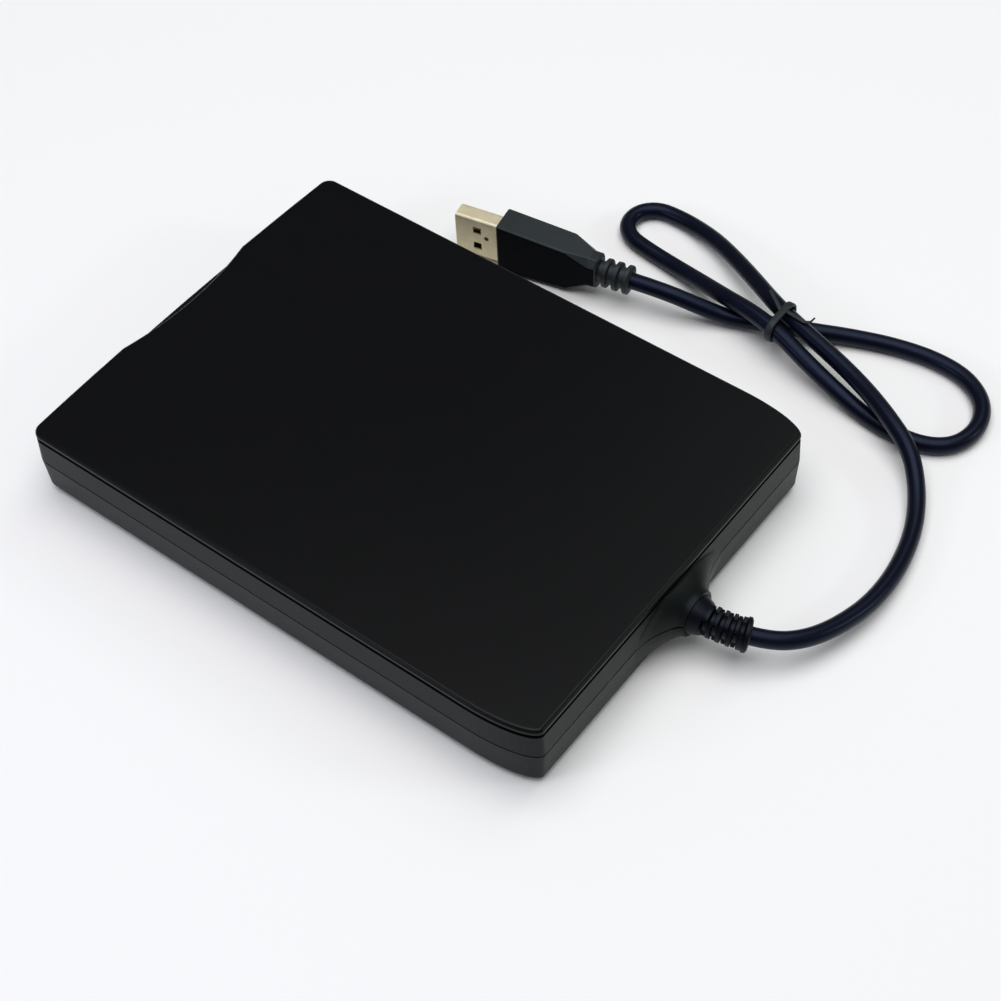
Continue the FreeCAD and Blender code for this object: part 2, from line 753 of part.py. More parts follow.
def status_led():
    """Round indicator with two legs down to the spindle board."""
    front = bezel_inner_y + 1.2 + led_radius
    rear = front + 3.2
    body = bar((lens_x, front, led_height), (lens_x, rear, led_height), led_radius)
    dome = Part.makeSphere(led_radius, Vector(lens_x, front, led_height))
    rim = bar((lens_x, rear - 0.6, led_height), (lens_x, rear, led_height), led_radius + 0.3)
    solids = [body, dome, rim]
    leg_y = board_front_y + 0.8
    for offset in (-0.9, 0.9):
        x = lens_x + offset
        level = (led_height - 0.25, led_height + 0.25)
        solids.append(box((x - 0.25, x + 0.25), (rear - 0.1, leg_y + 0.25), level))
        solids.append(box((x - 0.25, x + 0.25), (leg_y - 0.25, leg_y + 0.25), (board_top, level[1])))
    return fuse(solids)


# ---------------------------------------------------------------- chassis, slider and holder

def drive_chassis():
    """Sheet-metal tray with cheeks, guide slots for the holder's pins and spring hooks."""
    y_range = (-chassis_half_length, chassis_half_length)
    base = box((-chassis_outer_x, chassis_outer_x), y_range, (chassis_bottom, chassis_top))
    solids = [base]
    cuts = [disc(0, spindle_y, bearing_radius + fixed_gap, (0, height)),
            box((rail_offset - motor_radius - 0.5, rail_offset + motor_radius + 0.5),
                (motor_front_y, chassis_half_length + 1), (0, chassis_top + 1))]
    for side in (-1, 1):
        span = sorted((side * chassis_inner_x, side * chassis_outer_x))
        cheek = box(span, y_range, (chassis_bottom, cheek_top))
        for y in (holder_pin_front_y, holder_pin_rear_y):
            cuts.append(side_slot((y, holder_pin_z), (y, holder_pin_z - holder_drop),
                                  holder_pin_radius + pin_slot_gap, grown(span, 1)))
        hook_x = (side * spring_x - spring_tab_half, side * spring_x + spring_tab_half)
        hook = box(hook_x, (spring_front_y - chassis_wall, spring_front_y),
                   (chassis_top - 0.1, spring_height + spring_radius + 0.5))
        solids += [cheek, hook]
        cuts.append(box(grown(hook_x, 0.3), (spring_front_y, spring_front_y + 4), (0, chassis_top + 0.01)))
        window_x = sorted((side * 24.0, side * 34.0))
        cuts.append(rounded_block(window_x, (12.0, 24.0), (0, chassis_top + 0.01), 2.0))
    for x, y in chassis_screw_places():
        cuts.append(disc(x, y, screw_radius + screw_hole_gap, (0, chassis_top + 1)))
    return cut(fuse(solids), cuts)


def chassis_screws():
    """Four screws through the boards and the chassis into the tray."""
    screws = []
    for x, y in chassis_screw_places():
        head = disc(x, y, screw_head_radius, (board_top, board_top + screw_head_height))
        shank = disc(x, y, screw_radius, (foot_height + 0.7, board_top + 0.1))
        screws.append(fuse([head, shank]))
    return Part.makeCompound(screws)


def eject_slider():
    """Folded sheet slider: two cheeks with ramp slots, rails, a crossbar, tab and tongue."""
    floor = (slider_floor, slider_floor + slider_sheet)
    rail_inner_x = spring_x + 2.4
    crossbar_back_y = slider_front_y + 4.0
    solids = [box((-slider_outer_x, slider_outer_x), (slider_front_y, crossbar_back_y), floor)]
    cuts = []
    for side in (-1, 1):
        span = sorted((side * slider_inner_x, side * slider_outer_x))
        solids.append(box(span, (slider_front_y, slider_rear_y), (slider_floor, cheek_top)))
        rail = sorted((side * rail_inner_x, side * slider_outer_x))
        solids.append(box(rail, (slider_front_y, slider_rear_y), floor))
        for y in (holder_pin_front_y, holder_pin_rear_y):
            low_end = (y + eject_travel, holder_pin_z - holder_drop)
            cuts.append(side_slot((y, holder_pin_z), low_end,
                                  holder_pin_radius + pin_slot_gap, grown(span, 1)))
        hook = sorted((side * (spring_x - spring_tab_half), side * (rail_inner_x + 0.1)))
        hook_back_y = spring_rear_y + slider_sheet
        solids.append(box(hook, (spring_rear_y - 2.5, hook_back_y), floor))
        solids.append(box(hook, (spring_rear_y, hook_back_y),
                          (slider_floor, spring_height + spring_radius + 0.2)))
    tab_x = (button_x - 4.0, button_x + 4.0)
    solids.append(box(tab_x, (tab_y, slider_front_y), (slider_floor, tongue_z_range[1])))
    solids.append(box(tongue_x_range, (tongue_tip_y, slider_front_y), tongue_z_range))
    return cut(fuse(solids), cuts)


def slider_springs():
    """Two tension springs between the chassis hooks and the slider."""
    reach = spring_rear_y - spring_front_y
    springs = []
    for side in (-1, 1):
        start = Vector(side * spring_x, spring_front_y + spring_wire / 2, spring_height)
        springs.append(coil(start, back, spring_radius, spring_wire, spring_turns, reach - spring_wire))
    return Part.makeCompound(springs)


def lever_point(angle):
    """Plan place of the lever's pin at an angle in degrees."""
    turn = math.radians(angle)
    return (lever_pivot_x + lever_arm * math.cos(turn), lever_pivot_y + lever_arm * math.sin(turn))


def arc_slot(z):
    """Curved slot that the lever's pin swings in."""
    start = lever_rest_angle - 2.0
    sweep = lever_swing + 4.0
    outer = Part.makeCylinder(lever_arm + lever_slot_half, z[1] - z[0],
                              Vector(lever_pivot_x, lever_pivot_y, z[0]), up, sweep)
    inner = disc(lever_pivot_x, lever_pivot_y, lever_arm - lever_slot_half, (z[0] - 1, z[1] + 1))
    band = outer.cut(inner)
    band.rotate(Vector(lever_pivot_x, lever_pivot_y, 0), up, start)
    ends = [disc(*lever_point(angle), lever_slot_half, z) for angle in (start, start + sweep)]
    return fuse([band] + ends)


rail_reach_front = head_rest_y - 3.7
rail_reach_rear = arm_hinge_y - arm_wing_reach + 1.0


def disk_holder():
    """Sheet-metal cradle that carries the diskette and lowers it on the spindle."""
    y_range = (holder_front_y, holder_rear_y)
    roof = (holder_ceiling, holder_top)
    solids = [box((-holder_outer_x, holder_outer_x), y_range, roof)]
    for side in (-1, 1):
        wall = sorted((side * holder_inner_x, side * holder_outer_x))
        floor = sorted((side * (holder_outer_x - holder_sheet - holder_flange_width),
                        side * holder_outer_x))
        bottom = holder_floor_top - holder_sheet
        solids.append(box(wall, y_range, (bottom, holder_top)))
        solids.append(box(floor, y_range, (bottom, holder_floor_top)))
    web_x = (holder_cutout_half, holder_cutout_half + holder_sheet)
    lift_level = lift_rail_top()
    solids.append(box(web_x, (rail_reach_front, rail_reach_rear), (lift_level - 0.4, holder_top)))
    solids.append(box((7.0, web_x[1]), (rail_reach_front, rail_reach_rear),
                      (lift_level - 0.4, lift_level)))
    pivot = disc(lever_pivot_x, lever_pivot_y, lever_pin_radius + fixed_gap, grown(roof, 1))
    cuts = [box((-holder_cutout_half, holder_cutout_half), (2.0, holder_rear_y + 1), grown(roof, 0.01)),
            arc_slot(grown(roof, 1)), pivot]
    for x in (-30.0, 18.0):
        cuts.append(rounded_block((x, x + 12.0), (-46.0, -22.0), grown(roof, 0.01), 2.5))
    body = fuse(solids[:-2])
    return fuse([cut(body, cuts), solids[-2], solids[-1]])


def lift_rail_top():
    """Height of the rail under the arm's wing with the holder raised."""
    lowered = arm_hinge_z + arm_thickness / 2 - slide_gap
    return lowered + holder_drop


def holder_pins():
    """Four guide pins in the holder's sides."""
    pins = []
    for side in (-1, 1):
        for y in (holder_pin_front_y, holder_pin_rear_y):
            pins.append(bar((side * holder_outer_x, y, holder_pin_z),
                            (side * (chassis_outer_x + 0.3), y, holder_pin_z), holder_pin_radius))
    return Part.makeCompound(pins)


def shutter_lever():
    """Lever that slides the diskette's shutter open; its pin hangs through the curved slot."""
    tip = lever_point(lever_rest_angle)
    z = (lever_bottom, lever_top)
    hub = disc(lever_pivot_x, lever_pivot_y, 2.8, z)
    end = disc(tip[0], tip[1], 1.8, z)
    blade = box((0, lever_arm), (-1.8, 1.8), z)
    blade.rotate(Vector(0, 0, 0), up, lever_rest_angle)
    blade.translate(Vector(lever_pivot_x, lever_pivot_y, 0))
    pin = disc(tip[0], tip[1], lever_pin_radius, (slot_bottom + 1.3, lever_top))
    bore = disc(lever_pivot_x, lever_pivot_y, lever_pin_radius + running_gap, grown(z, 1))
    return fuse([hub, blade, end, pin]).cut(bore)


def lever_pivot_pin():
    """Riveted pin that the lever turns on."""
    shank = disc(lever_pivot_x, lever_pivot_y, lever_pin_radius, (slot_top - 1.4, lever_top))
    head = disc(lever_pivot_x, lever_pivot_y, 2.2, (slot_top - 1.8, slot_top - 1.3))
    return fuse([shank, head])


def lever_spring():
    """Torsion spring under the holder's roof, round the lever's pivot."""
    bottom = Vector(lever_pivot_x, lever_pivot_y, slot_top - 1.1)
    return coil(bottom, up, 1.5, 0.3, 2, 0.9)


# ---------------------------------------------------------------- spindle motor

def spindle_board():
    """Main circuit board under the diskette, round the spindle bearing."""
    board = box((-board_half_width, board_half_width), (board_front_y, board_rear_y),
                (chassis_top, board_top))
    holes = [disc(0, spindle_y, bearing_flange_radius + 0.2, (0, height))]
    for x, y in chassis_screw_places():
        holes.append(disc(x, y, screw_radius + screw_hole_gap, (0, height)))
    return cut(board, holes)


def stator_coils():
    """Flat wedge coils on the board, in a ring round the bearing."""
    coils = []
    for index in range(coil_count):
        wedge = Part.makePolygon([Vector(8.0, -1.6, 0), Vector(14.8, -4.2, 0), Vector(14.8, 4.2, 0),
                                  Vector(8.0, 1.6, 0), Vector(8.0, -1.6, 0)])
        block = Part.Face(wedge).extrude(up * coil_height)
        block = block.makeFillet(0.9, upright_edges(block))
        block = block.cut(box((10.6, 12.8), (-0.9, 0.9), (-1, coil_height + 1)))
        block.rotate(Vector(0, 0, 0), up, index * 360.0 / coil_count)
        block.translate(Vector(0, spindle_y, board_top))
        coils.append(block)
    return Part.makeCompound(coils)


def spindle_bearing():
    """Flanged bush that the spindle shaft turns in."""
    bush = disc(0, spindle_y, bearing_radius, (chassis_bottom - 0.2, rotor_disc_bottom - 0.3))
    flange = disc(0, spindle_y, bearing_flange_radius, (chassis_top, board_top))
    return fuse([bush, flange]).cut(disc(0, spindle_y, shaft_radius + running_gap - 0.01, (0, height)))


def spindle_rotor():
    """Steel cup over the coils."""
    cup = disc(0, spindle_y, rotor_radius, (board_top + 0.4, hub_bottom))
    hollow = disc(0, spindle_y, rotor_radius - rotor_skirt, (0, rotor_disc_bottom))
    cuts = [hollow, disc(0, spindle_y, shaft_radius + fixed_gap, (0, height))]
    return cut(cup, cuts)


def rotor_magnet():
    """Magnet ring inside the cup."""
    outer = rotor_radius - rotor_skirt
    return ring(0, spindle_y, outer, outer - magnet_width, (board_top + 0.5, rotor_disc_bottom))


def spindle_hub():
    """Plate and nose that the diskette's hub sits on."""
    plate = disc(0, spindle_y, hub_radius, (hub_bottom, hub_top))
    nose = disc(0, spindle_y, hub_nose_radius, (hub_bottom, hub_top + hub_nose_height))
    nose = nose.makeChamfer(0.4, level_edges(nose, hub_top + hub_nose_height))
    cuts = [disc(0, spindle_y, shaft_radius + fixed_gap, (0, height)),
            disc(drive_pin_offset, spindle_y, drive_pin_radius + fixed_gap, (hub_bottom, height))]
    return cut(fuse([plate, nose]), cuts)


def spindle_shaft():
    """Shaft through the bearing, the rotor and the hub."""
    return disc(0, spindle_y, shaft_radius, (floor_top + 0.3, hub_top + hub_nose_height - 0.1))


def drive_pin():
    """Pin that catches the diskette's hub."""
    return disc(drive_pin_offset, spindle_y, drive_pin_radius, (hub_bottom, hub_top + 0.8))


# ---------------------------------------------------------------- head carriage

platform_top = hub_top - 0.3
lower_head_top = hub_top + disk_thickness / 2 - 0.05
carriage_floor = board_top + 0.4


def head_carriage():
    """Moulded carriage: head platform, neck, crosspiece on the rails and hinge ears."""
    platform = rounded_block((-5.0, 5.0), (head_rest_y - 4.0, head_rest_y + 4.0),
                             (carriage_floor, platform_top), 1.5)
    cross_y = (arm_hinge_y - 11.0, arm_hinge_y + 1.5)
    neck = box((-4.0, 4.0), (head_rest_y + 3.0, cross_y[0] + 1), (carriage_floor, platform_top - 0.6))
    cross_z = (rail_height - 1.9, rail_height + 1.9)
    cross = box((-rail_offset - 3.0, rail_offset + 3.0), cross_y, cross_z)
    solids = [platform, neck, cross]
    for side in (-1, 1):
        span = sorted((side * (arm_half_width + 0.3), side * (arm_half_width + 1.5)))
        solids.append(box(span, (arm_hinge_y - 1.5, arm_hinge_y + 1.5), (rail_height, arm_hinge_z + 1.0)))
    flag = box((-rail_offset - 7.0, -rail_offset - 2.0), (arm_hinge_y - 6.0, arm_hinge_y - 3.0),
               (sensor_slot_z - 0.3, sensor_slot_z + 0.3))
    solids.append(flag)
    y = (cross_y[0] - 1, cross_y[1] + 1)
    cuts = [bar((-rail_offset, y[0], rail_height), (-rail_offset, y[1], rail_height),
                rod_radius + running_gap),
            bar((rail_offset, y[0], rail_height), (rail_offset, y[1], rail_height),
                lead_screw_radius + 0.3),
            bar((-10, arm_hinge_y, arm_hinge_z), (10, arm_hinge_y, arm_hinge_z),
                arm_pin_radius + running_gap)]
    return cut(fuse(solids), cuts)


sensor_slot_z = rail_height + 0.7


def lower_head():
    """Ceramic head under the diskette."""
    return box((-2.2, 2.2), (head_rest_y - 1.8, head_rest_y + 1.8), (platform_top, lower_head_top))


def lifted(shape):
    """A piece of the upper arm, turned up from its place on the diskette."""
    shape.rotate(Vector(0, arm_hinge_y, arm_hinge_z), right, -arm_lift_angle)
    return shape


def upper_head_arm():
    """Hinged arm over the diskette, with its pins and the wing that the holder lifts."""
    z = (arm_hinge_z - arm_thickness / 2, arm_hinge_z + arm_thickness / 2)
    plate = box((-arm_half_width, arm_half_width), (head_rest_y - 2.0, arm_hinge_y), z)
    window = box((-2.2, 2.2), (head_rest_y + 6.0, arm_hinge_y - 5.0), grown(z, 1))
    barrel = bar((-arm_half_width, arm_hinge_y, arm_hinge_z),
                 (arm_half_width, arm_hinge_y, arm_hinge_z), 0.9)
    pin_reach = arm_half_width + 1.4
    pins = bar((-pin_reach, arm_hinge_y, arm_hinge_z), (pin_reach, arm_hinge_y, arm_hinge_z),
               arm_pin_radius)
    wing_y = arm_hinge_y - arm_wing_reach
    wing = box((2.2, 10.0), (wing_y - 1.0, wing_y + 1.0), (z[1] - 0.01, z[1] + 0.4))
    return lifted(fuse([plate.cut(window), barrel, pins, wing]))


def upper_head():
    """Head under the tip of the arm."""
    return lifted(box((-2.2, 2.2), (head_rest_y - 1.6, head_rest_y + 1.6),
                      (lower_head_top + 0.1, arm_hinge_z - arm_thickness / 2)))


clamp_front_y = (16.0, 19.0)


def guide_rod():
    """Rod that the carriage slides on."""
    return bar((-rail_offset, clamp_front_y[0] + 0.2, rail_height),
               (-rail_offset, motor_front_y + 1.3, rail_height), rod_radius)


def rod_clamps():
    """Two blocks that hold the ends of the guide rod."""
    clamps = []
    for y in (clamp_front_y, (motor_front_y - 1.0, motor_front_y + 1.5)):
        block = box((-rail_offset - 3.0, -rail_offset + 3.0), y, (chassis_top, rail_height + 1.6))
        hole = bar((-rail_offset, y[0] - 1, rail_height), (-rail_offset, y[1] + 1, rail_height),
                   rod_radius + fixed_gap)
        clamps.append(block.cut(hole))
    return Part.makeCompound(clamps)


def lead_screw():
    """Screw that moves the carriage, turned by the stepper motor."""
    return bar((rail_offset, clamp_front_y[0] + 0.3, rail_height),
               (rail_offset, motor_front_y + 1.5, rail_height), lead_screw_radius)


def screw_bearing():
    """Bracket for the free end of the lead screw."""
    y = (clamp_front_y[0], clamp_front_y[0] + 2.0)
    block = box((rail_offset - 2.5, rail_offset + 2.5), y, (chassis_top, rail_height + 2.5))
    hole = bar((rail_offset, y[0] - 1, rail_height), (rail_offset, y[1] + 1, rail_height),
               lead_screw_radius + running_gap)
    return block.cut(hole)


def stepper_motor():
    """Can and flange of the motor on the lead screw."""
    can = bar((rail_offset, motor_front_y, rail_height),
              (rail_offset, motor_front_y + motor_length, rail_height), motor_radius)
    flange = box((rail_offset - motor_radius - 0.4, rail_offset + motor_radius + 0.4),
                 (motor_front_y - 0.8, motor_front_y), (chassis_top, rail_height + motor_radius))
    bore = bar((rail_offset, motor_front_y - 1, rail_height),
               (rail_offset, motor_front_y + 1.7, rail_height), lead_screw_radius + running_gap)
    return fuse([can, flange]).cut(bore)


# ---------------------------------------------------------------- boards and wiring

def side_board(x, front_y):
    """Board on the chassis behind the spindle board, with its screw hole."""
    board = box(x, (front_y, side_board_rear_y), (chassis_top, board_top))
    holes = [disc(sx, sy, screw_radius + screw_hole_gap, (0, height))
             for sx, sy in chassis_screw_places()]
    return cut(board, holes)


def main_board():
    """Controller board beside the carriage."""
    return side_board((-board_half_width, -side_board_inner_x), board_rear_y + board_gap)


def usb_board():
    """USB bridge board."""
    return side_board((side_board_inner_x + 0.5, board_half_width), side_board_rear_y - usb_board_length)


def chip(x, y, width, depth, tall):
    """Chip package with a bevelled top, on a board."""
    body = box((x - width / 2, x + width / 2), (y - depth / 2, y + depth / 2),
               (board_top, board_top + tall))
    return body.makeChamfer(0.25, level_edges(body, board_top + tall))


def board_chips():
    """Packages on the spindle board and the controller board."""
    side = -board_half_width
    rear = side_board_rear_y
    front = board_front_y
    return Part.makeCompound([chip(side + 7.5, rear - 31.8, 10.0, 10.0, 1.4),
                              chip(side + 5.0, rear - 17.8, 4.0, 6.0, 1.2),
                              chip(side + 5.5, rear - 11.3, 5.0, 3.0, 1.8),
                              chip(-side - 11.5, front + 15.5, 6.0, 8.0, 1.3),
                              chip(12.0, front + 6.5, 3.0, 4.0, 1.1),
                              chip(-14.0, front + 7.5, 8.0, 5.0, 1.3)])


def usb_chips():
    """Packages on the USB board."""
    side = board_half_width
    rear = side_board_rear_y
    return Part.makeCompound([chip(side - 8.0, rear - 20.8, 9.0, 9.0, 1.4),
                              chip(side - 3.0, rear - 11.3, 3.5, 6.0, 2.2),
                              chip(side - 12.0, rear - 11.8, 4.0, 3.0, 1.2)])


ribbon_y = (55.0, 59.5)
ribbon_sheet = 0.25
connector_height = 1.8


def ribbon_cable():
    """Flat cable that arches over the stepper motor between the two boards."""
    low = board_top + connector_height
    high = rail_height + motor_radius + 1.2
    outer = box((-side_board_inner_x - 1.8, side_board_inner_x + 2.3), ribbon_y, (low - 5, high))
    inner = box((-side_board_inner_x - 1.8 + ribbon_sheet, side_board_inner_x + 2.3 - ribbon_sheet),
                grown(ribbon_y, 1), (low - 6, high - ribbon_sheet))
    outer = outer.makeFillet(2.0, [e for e in level_edges(outer, high) if e.BoundBox.XLength < 0.01])
    inner = inner.makeFillet(2.0 - ribbon_sheet, [e for e in level_edges(inner, high - ribbon_sheet)
                                                  if e.BoundBox.XLength < 0.01])
    below = box((-50, 50), grown(ribbon_y, 1), (low - 7, low))
    return cut(outer, [inner, below])


def ribbon_connectors():
    """Two sockets at the ends of the flat cable."""
    sockets = []
    for x in (-side_board_inner_x - 1.8, side_board_inner_x + 2.3):
        sockets.append(box((x - 1.3, x + 1.3), grown(ribbon_y, 0.3),
                           (board_top, board_top + connector_height)))
    return Part.makeCompound(sockets)


wire_radius = 0.5
wire_pitch = 1.5
wire_first_x = side_board_inner_x + 6.0
wire_connector_y = (53.0, 57.0)


def wire_connector():
    """Socket for the lead's four wires."""
    x = (wire_first_x - 1.0, wire_first_x + 3 * wire_pitch + 1.0)
    return box(x, wire_connector_y, (board_top, board_top + 3.0))


def internal_wires():
    """The lead's four wires, from the strain relief to their socket."""
    wires = []
    start_y = half_length - side_wall - seam_gap - relief_flange_thickness
    bend_y = motor_front_y + motor_length + 1.8
    for index in range(4):
        column = index // 2
        row = index % 2
        x = 0.7 if column else -0.7
        z = exit_height + (0.7 if row else -0.7)
        end_x = wire_first_x + index * wire_pitch
        over = bend_y + (0.0 if column else 1.3)
        points = [Vector(x, start_y, z), Vector(x, start_y - 1.5, z),
                  Vector(9.0 + index * 0.1, over, z), Vector(20.0 + index, over - 0.1, z - 0.4),
                  Vector(end_x, wire_connector_y[1] + 3.4, board_top + 1.5),
                  Vector(end_x, wire_connector_y[1], board_top + 1.5)]
        wires.append(soft_tube(points, wire_radius))
    return Part.makeCompound(wires)


def switch_places():
    """Plan centres of the write-protect, density and disk-in switches."""
    x = board_half_width - switch_size / 2
    front_y = board_front_y + 3.5
    return {"write_protect": (-x, front_y), "density": (x, front_y), "disk_in": (-x, front_y + 6.0)}


def sense_switches():
    """Three switch bodies on the spindle board."""
    bodies = []
    half = switch_size / 2
    for x, y in switch_places().values():
        body = box((x - half, x + half), (y - half, y + half), (board_top, board_top + switch_height))
        bodies.append(body.cut(disc(x, y, plunger_radius + running_gap, (board_top + 0.1, height))))
    return Part.makeCompound(bodies)


def plunger(name):
    """Spring-loaded pin in one of the switches."""
    x, y = switch_places()[name]
    pin = disc(x, y, plunger_radius, (board_top + 0.1 + plunger_travel + 0.1, board_top + plunger_height))
    return pin.makeChamfer(0.3, level_edges(pin, board_top + plunger_height))


def track_zero_sensor():
    """Forked light barrier that sees the carriage's flag at the outermost track."""
    x = (-rail_offset - 10.0, -rail_offset - 4.5)
    y = (arm_hinge_y - 7.0, arm_hinge_y - 1.0)
    body = box(x, y, (board_top, sensor_slot_z + 2.5))
    slot = box((x[0] + 2.0, x[1] + 1), (y[0] - 1, y[1] + 1), (sensor_slot_z - 0.8, sensor_slot_z + 0.8))
    return body.cut(slot)


# ---------------------------------------------------------------- lead, plug and tie

def relief_point(reach):
    """Point on the strain relief's axis, reach beyond the boss."""
    start = Vector(0, boss_tip_y, exit_height)
    if reach <= 0:
        return start + back * reach
    turn = reach / relief_bend_radius
    side = Vector(relief_side).normalize()
    return start + back * (relief_bend_radius * math.sin(turn)) + side * (
        relief_bend_radius * (1 - math.cos(turn)))


def relief_way(reach):
    """Direction of the strain relief's axis at a reach beyond the boss."""
    turn = max(reach, 0) / relief_bend_radius
    return back * math.cos(turn) + Vector(relief_side).normalize() * math.sin(turn)


relief_end = relief_neck_reach + relief_ring_count * relief_ring_pitch


def strain_relief():
    """Ribbed rubber sleeve with a neck in the boss and a flange behind the wall."""
    inner_face = half_length - side_wall - seam_gap
    flange = bar((0, inner_face - relief_flange_thickness, exit_height),
                 (0, inner_face, exit_height), relief_flange_radius)
    neck = bar((0, inner_face - 0.1, exit_height), (0, boss_tip_y, exit_height), relief_neck_radius)
    collar_radius = boss_mouth_radius - seam_gap
    seat = bar((0, boss_tip_y - boss_mouth_depth + seam_gap, exit_height),
               (0, boss_tip_y, exit_height), collar_radius)
    collar = Part.makeCone(collar_radius, relief_collar_end_radius, relief_neck_reach,
                           relief_point(0), back)
    path = Part.Wire(Part.Arc(relief_point(0.001), relief_point(relief_end / 2),
                              relief_point(relief_end)).toShape())
    section = Part.Wire(Part.makeCircle(relief_core_radius, relief_point(0.001), back))
    core = path.makePipeShell([section], True, True)
    solids = [flange, neck, seat, collar, core]
    for index in range(relief_ring_count):
        share = index / (relief_ring_count - 1)
        radius = relief_ring_radius + (relief_end_ring_radius - relief_ring_radius) * share
        reach = relief_end - relief_ring_width - (relief_ring_count - 1 - index) * relief_ring_pitch
        rib_end = reach + relief_ring_width
        way = relief_way(rib_end)
        solids.append(Part.makeCylinder(radius, relief_ring_width,
                                        relief_point(rib_end) - way * relief_ring_width, way))
    return fuse(solids)


def plug_point(reach):
    """Point on the plug's axis, reach behind its front face."""
    turn = math.radians(plug_heading)
    return plug_root + Vector(math.cos(turn), math.sin(turn), 0) * reach


def placed_plug(shape):
    """A piece modelled along +X from the plug's front face, set down in its place."""
    shape.Placement = FreeCAD.Placement(plug_root, FreeCAD.Rotation(up, plug_heading))
    return shape


def cable():
    """Lead from the strain relief to the plug."""
    points = [relief_point(relief_end), relief_point(relief_end) + relief_way(relief_end) * cord_first_run]
    points += [Vector(*point) for point in cord_route]
    points += [plug_point(plug_relief_end + cord_last_run), plug_point(plug_relief_end)]
    return soft_tube(points, cord_diameter / 2, "cable")


def usb_section(rim, x):
    """Rounded block on the plug's axis, as large as the USB shell less a rim."""
    block = box(x, (-usb_height / 2 + rim, usb_height / 2 - rim), (-usb_width / 2 + rim, usb_width / 2 - rim))
    lengthwise = [edge for edge in block.Edges if edge.BoundBox.XLength > 1]
    return block.makeFillet(usb_corner_radius - rim, lengthwise)


def plug_overmould():
    """Grip of the plug, tapering behind the fingers to a ribbed relief."""
    half = plug_height / 2
    side = plug_thickness / 2
    waist = plug_waist_half_height
    neck_start = plug_body_length - plug_neck_length
    upper = [Vector(0, 0, half), Vector(plug_grip_length, 0, plug_grip_end_half_height),
             Vector(neck_start, 0, waist), Vector(plug_body_length, 0, waist)]
    lower = [Vector(point.x, 0, -point.z) for point in reversed(upper)]
    outline = [point - back * side for point in upper + lower]
    body = Part.Face(Part.makePolygon(outline + outline[:1])).extrude(back * plug_thickness)
    long_edges = [edge for edge in body.Edges
                  if edge.BoundBox.YLength < 0.01 and edge.BoundBox.XLength > 3.0]
    body = body.makeFillet(1.0, long_edges)
    solids = [body, bar((plug_body_length - 1, 0, 0), (plug_relief_end, 0, 0), plug_relief_core_radius)]
    pitch = (plug_relief_end - plug_body_length) / plug_relief_ring_count
    for index in range(plug_relief_ring_count):
        end = plug_relief_end - index * pitch
        radius = plug_relief_radius + 0.15 * index
        solids.append(bar((end - pitch * 0.55, 0, 0), (end, 0, 0), radius))
    pocket = usb_section(-fixed_gap, (-1, usb_embed + fixed_gap))
    return placed_plug(fuse(solids).cut(pocket))


def plug_shell():
    """Folded metal shell of the USB plug, with its latch windows."""
    outer = usb_section(0, (-usb_reach, usb_embed))
    shell = outer.cut(usb_section(usb_sheet, (-usb_reach - 1, usb_embed + 1)))
    half = usb_window / 2
    cuts = []
    for z in (-usb_window_spread, usb_window_spread):
        cuts.append(box((-usb_window_setback - half, -usb_window_setback + half),
                        (-usb_height, usb_height), (z - half, z + half)))
    return placed_plug(cut(shell, cuts))


tongue_back_y = usb_height / 2 - usb_sheet - fixed_gap


def plug_tongue():
    """Insulator that carries the contacts, against one side of the shell."""
    low_y = tongue_back_y - usb_tongue_thickness
    inside = usb_section(usb_sheet + fixed_gap, (-usb_reach + 0.4, usb_embed))
    blade = inside.cut(box((-usb_reach, usb_embed + 1), (-usb_height, low_y), (-usb_width, usb_width)))
    for z in contact_places():
        blade = blade.cut(box((-usb_reach + 1.4, usb_embed + 1), (low_y - 1, low_y + 0.2), (z - 0.6, z + 0.6)))
    return placed_plug(blade)


def contact_places():
    """Heights of the four contacts."""
    return [-3.5, -1.0, 1.0, 3.5]


def plug_contacts():
    """Four gilt strips on the insulator."""
    low_y = tongue_back_y - usb_tongue_thickness
    strips = [box((-usb_reach + 1.5, usb_embed), (low_y, low_y + 0.2), (z - 0.55, z + 0.55))
              for z in contact_places()]
    return placed_plug(Part.makeCompound(strips))


def cable_tie():
    """Band round the three strands of the folded lead, with its twisted tail."""
    corners = [Vector(x, tie_y, z) for x, z in tie_strands]
    triangle = Part.makePolygon(corners + corners[:1])
    inner_reach = cord_diameter / 2 + tie_clearance
    inner = Part.Face(triangle.makeOffset2D(inner_reach))
    outer = Part.Face(triangle.makeOffset2D(inner_reach + tie_thickness))
    band = outer.extrude(back * tie_width).cut(inner.extrude(back * tie_width))
    band.translate(back * (-tie_width / 2))
    top = band.BoundBox.ZMax
    root = Vector((corners[0].x + corners[1].x) / 2, tie_y, top - tie_thickness / 2)
    tail = bar(tuple(root), tuple(tie_tail_tip), tie_tail_radius)
    return fuse([band, tail.cut(inner.extrude(back * 2 * tie_width).translated(back * -tie_width))])


# ---------------------------------------------------------------- output

